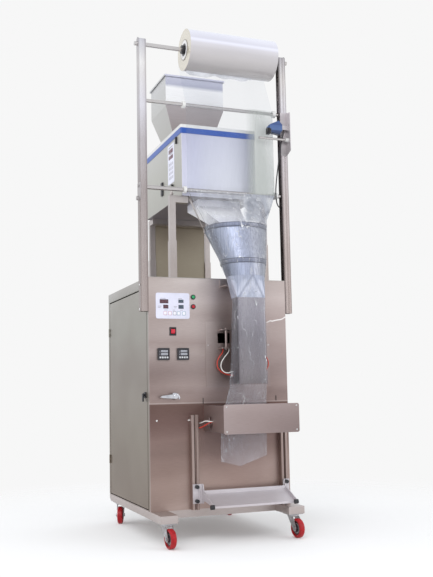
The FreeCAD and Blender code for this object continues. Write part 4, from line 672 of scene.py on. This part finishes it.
def clear_sheet(name, tint, covers, rough=0.08, wrinkles=0.0012, stretch=(1.0, 1.0, 1.0), scale=9.0, glints=0.0,
                edged=True, rims=0.25, across=None, tones=None, lean=0.0):
    """Clear film: light passes nearly straight, with a milky share by height, painted glints, creases and cut edges.
    """
    paint = bpy.data.materials.new(name)
    paint.use_nodes = True
    tree = paint.node_tree
    shader = tree.nodes["Principled BSDF"]
    shader.inputs["Roughness"].default_value = rough
    shader.inputs["Specular IOR Level"].default_value = 0.8
    see_through = tree.nodes.new("ShaderNodeBsdfTransparent")
    see_through.inputs["Color"].default_value = (0.97, 0.975, 0.985, 1.0)
    low, high = covers[0][0], covers[-1][0]
    cover = tree.nodes.new("ShaderNodeFloatCurve")
    while len(cover.mapping.curves[0].points) < len(covers):
        cover.mapping.curves[0].points.new(0.5, 0.5)
    for point, (z, milk) in zip(cover.mapping.curves[0].points, covers):
        point.location = ((z - low) / (high - low), milk)
        point.handle_type = "VECTOR"
    cover.mapping.update()
    tree.links.new(spread(tree, coordinate(tree), 0.0, 1.0, low, high), cover.inputs["Value"])
    creases = grain(tree, stretch, scale, 4.0)
    milk = calc(tree, "MULTIPLY", cover.outputs["Value"], spread(tree, creases, 0.45, 1.6, 0.35, 0.65))
    rim = tree.nodes.new("ShaderNodeLayerWeight")
    rim.inputs["Blend"].default_value = 0.35
    if across:
        milk = calc(tree, "MULTIPLY", milk, by_place(tree, "X", across, lean))
    total = add(tree, milk, rim.outputs["Facing"], rims)
    shade = blend_colours(tree, creases, [(0.35, tint), (0.65, tint)])
    if tones:
        shade = multiply(tree, shade, by_place(tree, "X", tones, lean))
    # Painted highlights: thin wavy glint lines in patches, painted pale and more opaque.
    if glints:
        line = grain(tree, (6.0, 6.0, 2.0), 5.0, 2.0, (0.3, 0.5, 0.2))
        thin = blend_colours(tree, line, [(0.493, "000000"), (0.499, "ffffff"), (0.501, "ffffff"), (0.507, "000000")])
        patch = blend_colours(tree, grain(tree, even, 20.0, 1.0), [(0.44, "000000"), (0.56, "ffffff")])
        painted_glint_lines = multiply(tree, thin, patch)
        total = add(tree, total, painted_glint_lines, glints)
        shade_mix = mix_colours(tree, painted_glint_lines, shade, (1.0, 1.0, 1.0, 1.0))
        shade = shade_mix
    if edged:
        cut = blend_colours(tree, coordinate(tree, "X", "UV"), [(0.0, "ffffff"), (0.006, "8a8a8a"), (0.010, "000000"),
                                                       (0.990, "000000"), (0.994, "8a8a8a"), (1.0, "ffffff")])
        total = add(tree, total, cut, 0.55)
        shade_mix = mix_colours(tree, cut, shade, colour("8e9296"))
        shade = shade_mix
    tree.links.new(shade, shader.inputs["Base Color"])
    mix = tree.nodes.new("ShaderNodeMixShader")
    tree.links.new(total, mix.inputs["Fac"])
    tree.links.new(see_through.outputs[0], mix.inputs[1])
    tree.links.new(shader.outputs[0], mix.inputs[2])
    tree.links.new(mix.outputs[0], tree.nodes["Material Output"].inputs["Surface"])
    relief(tree, shader, creases, wrinkles)
    return paint


web_film = clear_sheet("web_film", "b4b8b4", [(1.41, 0.55), (1.76, 0.46), (1.785, 0.36), (1.79, 0.02), (1.98, 0.01)],
                       wrinkles=0.0004, stretch=(1.0, 1.0, 0.3), scale=5.0, edged=False, rims=0.04,
                       across=[(-0.128, "484848"), (0.14, "505050"), (0.19, "ffffff"), (0.268, "ffffff")])
wrap_film = clear_sheet("wrap_film", "e6e8ee", [(0.6, 0.03), (0.95, 0.03), (1.26, 0.04), (1.27, 0.60), (1.415, 0.66)],
                        stretch=(3.0, 3.0, 0.7), glints=0.8, rims=0.2, lean=0.45,
                        across=[(-0.77, "505050"), (-0.515, "585858"), (-0.49, "ffffff"), (-0.1, "ffffff")],
                        tones=[(-0.77, "ffffff"), (-0.515, "ffffff"), (-0.49, "b9bbc0"), (-0.1, "b9bbc0")])
bag_film = clear_sheet("bag_film", "cfcbd0", [(0.29, 0.06), (0.42, 0.07), (0.52, 0.10), (0.61, 0.07)], wrinkles=0.0004,
                       stretch=(1.0, 1.0, 0.5), scale=8.0, glints=0.3, rims=0.2)
dress(web_film, "film_web")


def along_path(points, count):
    """Places at even steps along a chain of points, as many as count."""
    lengths = [0.0]
    for a, b in zip(points, points[1:]):
        lengths.append(lengths[-1] + (b - a).length)
    placed = []
    k = 0
    for i in range(count):
        want = lengths[-1] * i / (count - 1)
        while k < len(points) - 2 and lengths[k + 1] < want:
            k += 1
        share = (want - lengths[k]) / max(lengths[k + 1] - lengths[k], 1e-9)
        placed.append(points[k].lerp(points[k + 1], share))
    return placed


def film_piece(name, columns, rows, place, paint, nodes, body="frame", thick=0.0003):
    """A sheet of film: a grid whose places come from place(across 0 to 1, down 0 to 1), made thin and solid."""
    bpy.ops.object.select_all(action="DESELECT")
    bpy.ops.mesh.primitive_grid_add(x_subdivisions=columns, y_subdivisions=rows, size=1.0)
    sheet = bpy.context.object
    sheet.name = name
    for vertex in sheet.data.vertices:
        vertex.co = place(vertex.co.x + 0.5, 0.5 - vertex.co.y)
    bpy.ops.object.modifier_add(type="SOLIDIFY")
    sheet.modifiers[-1].thickness = thick
    bpy.ops.object.modifier_apply(modifier=sheet.modifiers[-1].name)
    bpy.ops.object.shade_smooth_by_angle(angle=math.radians(50))
    sheet.data.materials.append(paint)
    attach(sheet, body)
    if nodes:
        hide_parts(*nodes)
    return sheet


def flap_place(across, down):
    """A place on the loose outer lap under the roll, wavy along its free edge."""
    x = -0.118 + 0.30 * across
    hang = 0.013 + 0.006 * math.sin(across * 9.0) + 0.003 * math.sin(across * 23.0 + 1.0)
    hang *= math.sin(math.pi * min(1.0, across * 1.05)) ** 0.35 if 0.0 < across < 0.952 else 0.02
    sway = 0.006 * math.sin(across * 14.0) * down
    return Vector((x, face_y + 0.018 + 0.012 * down + sway, 1.9262 - hang * down))


flap_film = clear_sheet("flap_film", "e4e5ea", [(1.90, 0.8), (1.93, 0.7)], wrinkles=0.0006, edged=False)
film_piece("film_loose_lap", 90, 10, flap_place, flap_film, [])

wrap_columns = 96


def arc_level(radius, middle_y, z, reach):
    """The film's path round one level of the former, from its left edge to its right edge."""
    turns = [math.radians(-reach + 2.0 * reach * i / 40.0) for i in range(41)]
    return along_path([metres(80 + radius * math.sin(a), middle_y - radius * math.cos(a), z) for a in turns],
                      wrap_columns + 1)


def tube_level(z, left, right, front, tail):
    """The film's path round the forming tube, standing off it by so much at the left, right and front."""
    chain = [(80 - tail, -86.0), (19 - left * 0.5, -86.6), (18.4 - left, -104 - left * 0.2),
             (18.2 - left * 0.55, -138), (19.5, -151.4 - front), (80, -151.6 - front * 1.6),
             (140.5, -151.4 - front), (141.8 + right * 0.6, -136), (141.6 + right, -104), (141, -86.6),
             (80 + tail, -86.0)]
    return along_path([metres(x, y, z) for x, y in chain], wrap_columns + 1)


wrap_levels = [
    (1412.0, along_path([metres(-127.5, 4.6, 1412), metres(267.5, 4.6, 1412)], wrap_columns + 1)),
    (1266.0, arc_level(132.6, 0, 1266, 88)),
    (1243.0, arc_level(131.8, 0, 1243, 89)),
    (1112.0, arc_level(98.2, -71.5, 1112, 101)),
    (1092.0, arc_level(94.6, -75, 1092, 103)),
    (1040.0, arc_level(80.0, -95, 1040, 104)),
    (955.0, tube_level(955, 0.5, 0.4, 0.2, 42)),
    (860.0, tube_level(860, 3.0, 1.0, 0.6, 14)),
    (700.0, tube_level(700, 13.0, 5.0, 1.6, 1)),
    (608.3, tube_level(608.3, 24.0, 7.5, 2.4, 1)),
]


def wrap_place(across, down):
    """A place on the film from the lower bar to the tube's foot."""
    z = 1412.0 - (1412.0 - 608.3) * down
    for (high, above), (low, below) in zip(wrap_levels, wrap_levels[1:]):
        if z >= low - 0.001:
            break
    share = (high - z) / (high - low)
    i = int(round(across * wrap_columns))
    spot = above[i].lerp(below[i], share)
    out = Vector((spot.x - 0.08, spot.y - (face_y - 0.095), 0.0)).normalized()
    loose = min(1.0, max(0.0, (1000.0 - z) / 250.0))
    ripple = math.sin(across * 31.0 + z * 0.011) * math.sin(z * 0.023 + across * 7.0)
    fine = math.sin(across * 83.0 - z * 0.03) * math.sin(z * 0.061 + across * 13.0)
    lift = (0.5 + 0.5 * ripple) * 0.0012 * loose + (0.5 + 0.5 * fine) * 0.0005 * loose
    return spot + out * lift


film_piece("film_wrap_sheet", wrap_columns, 220, wrap_place, wrap_film, ["film_wrap"])

# Height, left and right edge and half depth of the bag, in mm.
bag_levels = [(607.9, -5, 149, 30), (560, -19, 148, 22), (520, -30, 147.5, 13), (496, -36, 147, 7.5),
              (477, -46, 147, 6.2), (458, -47, 147, 6.5), (400, -49, 146, 8.5), (345, -50.5, 144.5, 5.0),
              (329, -50.8, 143.5, 3.2)]


def bag_place(across, down):
    """A place on the bag's shell: round its front from the left fold to the right fold, and round its back."""
    z = 607.9 - (607.9 - 292.0) * down
    z_row = max(z, 329.0)
    for (high, l1, r1, d1), (low, l2, r2, d2) in zip(bag_levels, bag_levels[1:]):
        if z_row >= low - 0.001:
            break
    share = (high - z_row) / (high - low)
    left = l1 + (l2 - l1) * share
    right = r1 + (r2 - r1) * share
    deep = d1 + (d2 - d1) * share
    turn = across * 2.0 * math.pi
    along = 0.5 - 0.5 * math.cos(turn)
    side = 1.0 if turn > math.pi else -1.0
    x = left + (right - left) * along
    bulge = deep * (4.0 * along * (1.0 - along)) ** 0.45
    if z < 329.0:
        foot = 312.0 + (291.5 - 312.0) * along / 0.42
        if along >= 0.42:
            foot = 291.5 + (329.0 - 291.5) * (along - 0.42) / 0.58
        z = 329.0 + (foot - 329.0) * (329.0 - z) / 37.0
        bulge *= (z - foot + 2.0) / (331.0 - foot)
    sag = math.sin(x * 0.09 + z * 0.05) * 0.8 + math.sin(x * 0.21 - z * 0.033) * 0.5
    sag *= min(1.0, abs(z - 477.0) / 60.0) * (1.0 if bulge > 2.0 else 0.3)
    return metres(x, -119.0 + side * max(bulge, 0.25) + sag, z)


film_piece("film_bag_sheet", 120, 90, bag_place, bag_film, ["film_bag"])

# Controls
# A pale keypad, two black controllers, a red rocker and two lit buttons, all set in the panel,
# and a chrome lever that engages the film feed.
panel_pad = moulded("panel_pad", "dcdcec", 0.35, fine_skin)
controller_black = moulded("controller_black", "2b292e", 0.4)
red_plastic = moulded("red_plastic", "c9283a", 0.25)
green_plastic = moulded("green_plastic", "2f9a62", 0.25)
button_red = moulded("button_red", "b3202c", 0.25)
chrome, tree, shader = finish("chrome", "c9c8cc", 0.14, 1.0)
handled = grain(tree, even, 40.0)
tree.links.new(spread(tree, handled, 0.08, 0.22), shader.inputs["Roughness"])
tree.links.new(blend_colours(tree, handled, [(0.3, "b7b6bb"), (0.7, "d8d8dc")]), shader.inputs["Base Color"])
dress(panel_pad, "panel_keypad")
dress(controller_black, "temperature_controllers")
dress(black_plastic, "bezels_and_switches")
dress(red_plastic, "power_rocker")
dress(green_plastic, "start_button")
dress(button_red, "stop_button")
dress(chrome, "panel_handle")
dress(black_plastic, "door_latch")
keypad_y = -1.5
display_dark = moulded("display_dark", "3c2a33", 0.2, fine_skin)
display_navy = moulded("display_navy", "39434f", 0.2, fine_skin)
digit_red = moulded("digit_red", "a86a78", 0.4, fine_skin)
digit_blue = moulded("digit_blue", "7b8ea0", 0.4, fine_skin)
label_grey = moulded("label_grey", "a5a3ad", 0.5, fine_skin)


def digit_row(name, x, z, wide, high, count, paint, y):
    """A row of seven-segment numbers, each shown as an 8, in a window at a place in mm."""
    step = wide / (count + 0.4)
    w = step * 0.52
    h = high * 0.62
    t = min(w, h) * 0.16
    left = x + step * 0.44
    low = z + (high - h) / 2.0
    bars = []
    for k in range(count):
        x0 = left + k * step
        for z0 in (low, low + h / 2.0, low + h):
            bars.append(plate("bar", (x0 + t, y - 0.25, z0 - t / 2), (x0 + w - t, y + 0.1, z0 + t / 2), paint,
                              0.05))
        for x1 in (x0, x0 + w):
            for z0 in (low, low + h / 2.0):
                bars.append(plate("bar", (x1 - t / 2, y - 0.25, z0 + t), (x1 + t / 2, y + 0.1, z0 + h / 2 - t), paint,
                                  0.05))
    return merge(name, bars)


for name, x, z, wide, high, count, back_paint, digit_paint in (
        ("weight_display", -254.6, 938.2, 36.0, 16.3, 5, display_dark, digit_red),
        ("length_display", -240.0, 917.4, 21.4, 15.3, 3, display_dark, digit_red),
        ("count_display", -176.0, 941.2, 21.8, 13.3, 3, display_navy, digit_blue),
        ("speed_display", -176.0, 917.4, 21.8, 15.3, 3, display_navy, digit_blue)):
    plate(name, (x, keypad_y - 0.4, z), (x + wide, keypad_y + 0.2, z + high), back_paint, 0.25)
    digit_row(name + "_digits", x, z, wide, high, count, digit_paint, keypad_y - 0.4)
dashes = []
for x, z, wide in ((-252, 958.5, 22), (-176, 958.5, 16), (-262, 926.5, 14), (-262, 921.0, 11), (-196, 926.5, 14),
                   (-194, 921.0, 10), (-236, 911.6, 14), (-200, 911.6, 10), (-170, 911.6, 12)):
    dashes.append(plate("dash", (x, keypad_y - 0.12, z - 1.1), (x + wide, keypad_y + 0.1, z + 1.1), label_grey,
                        0.05))
merge("keypad_labels", dashes)
button_face = moulded("button_face", "efeef6", 0.45, fine_skin)
for name, x, code in (("key_one", -231.7, "c98a9d"), ("key_two", -212.0, "c98a9d"), ("key_three", -192.4, "6a6872"),
                      ("key_four", -175.0, "6d9aa5"), ("key_five", -153.0, "6d9aa5")):
    plate(name + "_ring", (x - 7.0, keypad_y - 0.3, 891.0), (x + 7.0, keypad_y + 0.2, 906.0),
          moulded(name + "_ring", code, 0.4, fine_skin), 0.25)
    plate(name, (x - 5.6, keypad_y - 0.9, 892.4), (x + 5.6, keypad_y, 904.6), button_face, 0.4)

# Two square controllers, each with two rows of numbers over a row of small keys.
display_grey = moulded("display_grey", "aeb0b8", 0.3, fine_skin)
digit_dark = moulded("digit_dark", "54545c", 0.4, fine_skin)
key_white = moulded("key_white", "c9cacd", 0.4, fine_skin)
for side, x in (("left", -242.0), ("right", -160.0)):
    for row, z, high in (("upper", 742.5, 8.0), ("lower", 730.5, 8.5)):
        window = "_".join((side, row, "window"))
        plate(window, (x - 11, -7.6, z), (x + 17, -6.9, z + high), display_grey, 0.3)
        digit_row(window + "_digits", x - 11, z, 28.0, high, 4, digit_dark, -7.6)
    keys = []
    for k in range(4):
        keys.append(plate("key", (x - 18 + k * 9.9, -8.2, 718.0), (x - 10.6 + k * 9.9, -6.9, 725.0), key_white,
                          0.5))
    merge(side + "_controller_keys", keys)
    lamps = []
    for k in range(3):
        lamps.append(plate("lamp", (x - 18, -7.6, 731.0 + k * 7.0), (x - 14, -6.9, 733.4 + k * 7.0), label_grey,
                           0.3))
    merge(side + "_controller_lamps", lamps)

# Castors
# Pressed zinc forks turning on plates, with red tread wheels.
# A wheel's bore, hub, rim and tread are rings round its own axle.
zinc, tree, shader = finish("zinc", "b5b3b4", 0.32, 0.9)
spangle = grain(tree, even, 60.0, 3.0)
tree.links.new(blend_colours(tree, spangle, [(0.3, "918e8f"), (0.7, "c4c3c5")]), shader.inputs["Base Color"])
tree.links.new(spread(tree, spangle, 0.24, 0.42), shader.inputs["Roughness"])
dress(zinc, "castor_plates")
for place, side, middle, turn in (("front_left", -1, -93, -6), ("front_right", 1, -93, -6), ("rear_left", -1, 600, 20),
                                  ("rear_right", 1, 600, 20)):
    dress(zinc, "castor_fork_" + place)
    wheel, tree, shader = finish("castor_wheel_" + place, "c8202a", 0.38)
    swing = math.radians(-turn)
    centre = metres(265.0 * side + 32.0 * math.sin(swing), middle - 32.0 * math.cos(swing), 37.5)
    coords = tree.nodes.new("ShaderNodeTexCoord")
    away = tree.nodes.new("ShaderNodeVectorMath")
    away.operation = "SUBTRACT"
    away.inputs[1].default_value = centre
    axle = tree.nodes.new("ShaderNodeVectorMath")
    axle.operation = "CROSS_PRODUCT"
    axle.inputs[1].default_value = (math.cos(swing), math.sin(swing), 0.0)
    radius = tree.nodes.new("ShaderNodeVectorMath")
    radius.operation = "LENGTH"
    tree.links.new(coords.outputs["Object"], away.inputs[0])
    tree.links.new(away.outputs["Vector"], axle.inputs[0])
    tree.links.new(axle.outputs["Vector"], radius.inputs[0])
    rings = blend_colours(tree, spread(tree, radius.outputs["Value"], 0.0, 1.0, 0.0, 0.038), [
        (0.0, "c9c7c8"), (0.20, "b5b2b3"), (0.23, "4a4446"), (0.42, "3b3638"), (0.45, "8b8486"), (0.52, "7d7778"),
        (0.55, "3f2f31"), (0.66, "42201f"), (0.70, "97141b"), (1.0, "b01a22")])
    rubbed = blend_colours(tree, grain(tree, even, 70.0, 3.0), [(0.35, "dcdcdc"), (0.6, "ffffff")])
    tree.links.new(multiply(tree, rings, rubbed), shader.inputs["Base Color"])
    shader.inputs["Specular IOR Level"].default_value = 0.3
    relief(tree, shader, grain(tree, even, 260.0, 2.0), 0.00008)
    dress(wheel, "castor_wheel_" + place)

# Leads
# Round flexible leads, each laid along the route that it keeps on the machine.
# A black cable serves the sensor; red and white leads heat the sealer and the jaws.
lead_routes = {
    "sensor_cable": (5.0, [(296, -14, 1709), (308, -14, 1709), (311, -11, 1692), (302, -7, 1655), (294, -7, 1615),
                           (287, -7, 1574), (280, -8, 1529), (272, -9, 1482), (267, -9, 1436), (268, -7, 1400),
                           (278, 4, 1372), (300, 15, 1360), (323.5, 15, 1360)]),
    "sealer_lead_red": (4.5, [(8, -15, 755), (8, -15, 741), (-10, -15, 723), (-21, -15, 698), (-14, -15, 671),
                              (12, -15, 653), (50, -15, 646), (110, -15, 645), (165, -15, 650), (200, -15, 667),
                              (211, -15, 693), (203, -15, 719), (178, -26, 737), (144, -47, 741), (100, -47, 741)]),
    "sealer_lead_white": (4.5, [(30, -26, 755), (30, -26, 742), (9, -26, 721), (-8, -26, 695), (-5, -26, 669),
                                (14, -34, 654), (38, -47, 663), (60, -47, 663)]),
    "jaw_lead_white": (4.0, [(-68, -87, 466), (-78, -87, 466), (-90, -75, 469), (-96, -51, 466), (-98, -25, 458),
                             (-98, 0, 458)]),
    "jaw_lead_red": (4.0, [(-68, -73, 463), (-78, -73, 463), (-92, -63, 452), (-100, -43, 444), (-103, -21, 440),
                           (-103, 0, 440)]),
}
lead_red = moulded("lead_red", "d0402f", 0.4)
lead_white = moulded("lead_white", "e9e6e1", 0.4)
for node, (wide, route) in lead_routes.items():
    bpy.ops.object.select_all(action="DESELECT")
    bpy.ops.curve.primitive_nurbs_path_add()
    lead = bpy.context.object
    lead.name = node + "_lead"
    lead.data.splines.clear()
    line = lead.data.splines.new("NURBS")
    line.points.add(len(route) - 1)
    for point, spot in zip(line.points, route):
        point.co = (*metres(*spot), 1.0)
    line.order_u = 3
    line.use_endpoint_u = True
    line.resolution_u = 8
    lead.data.bevel_depth = wide / 2000.0
    lead.data.bevel_resolution = 5
    lead.data.use_fill_caps = True
    bpy.ops.object.convert(target="MESH")
    bpy.ops.object.shade_smooth_by_angle(angle=math.radians(50))
    paint = lead_red if "red" in node else lead_white if "white" in node else black_plastic
    lead.data.materials.append(paint)
    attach(lead, "frame")
    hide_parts(node)
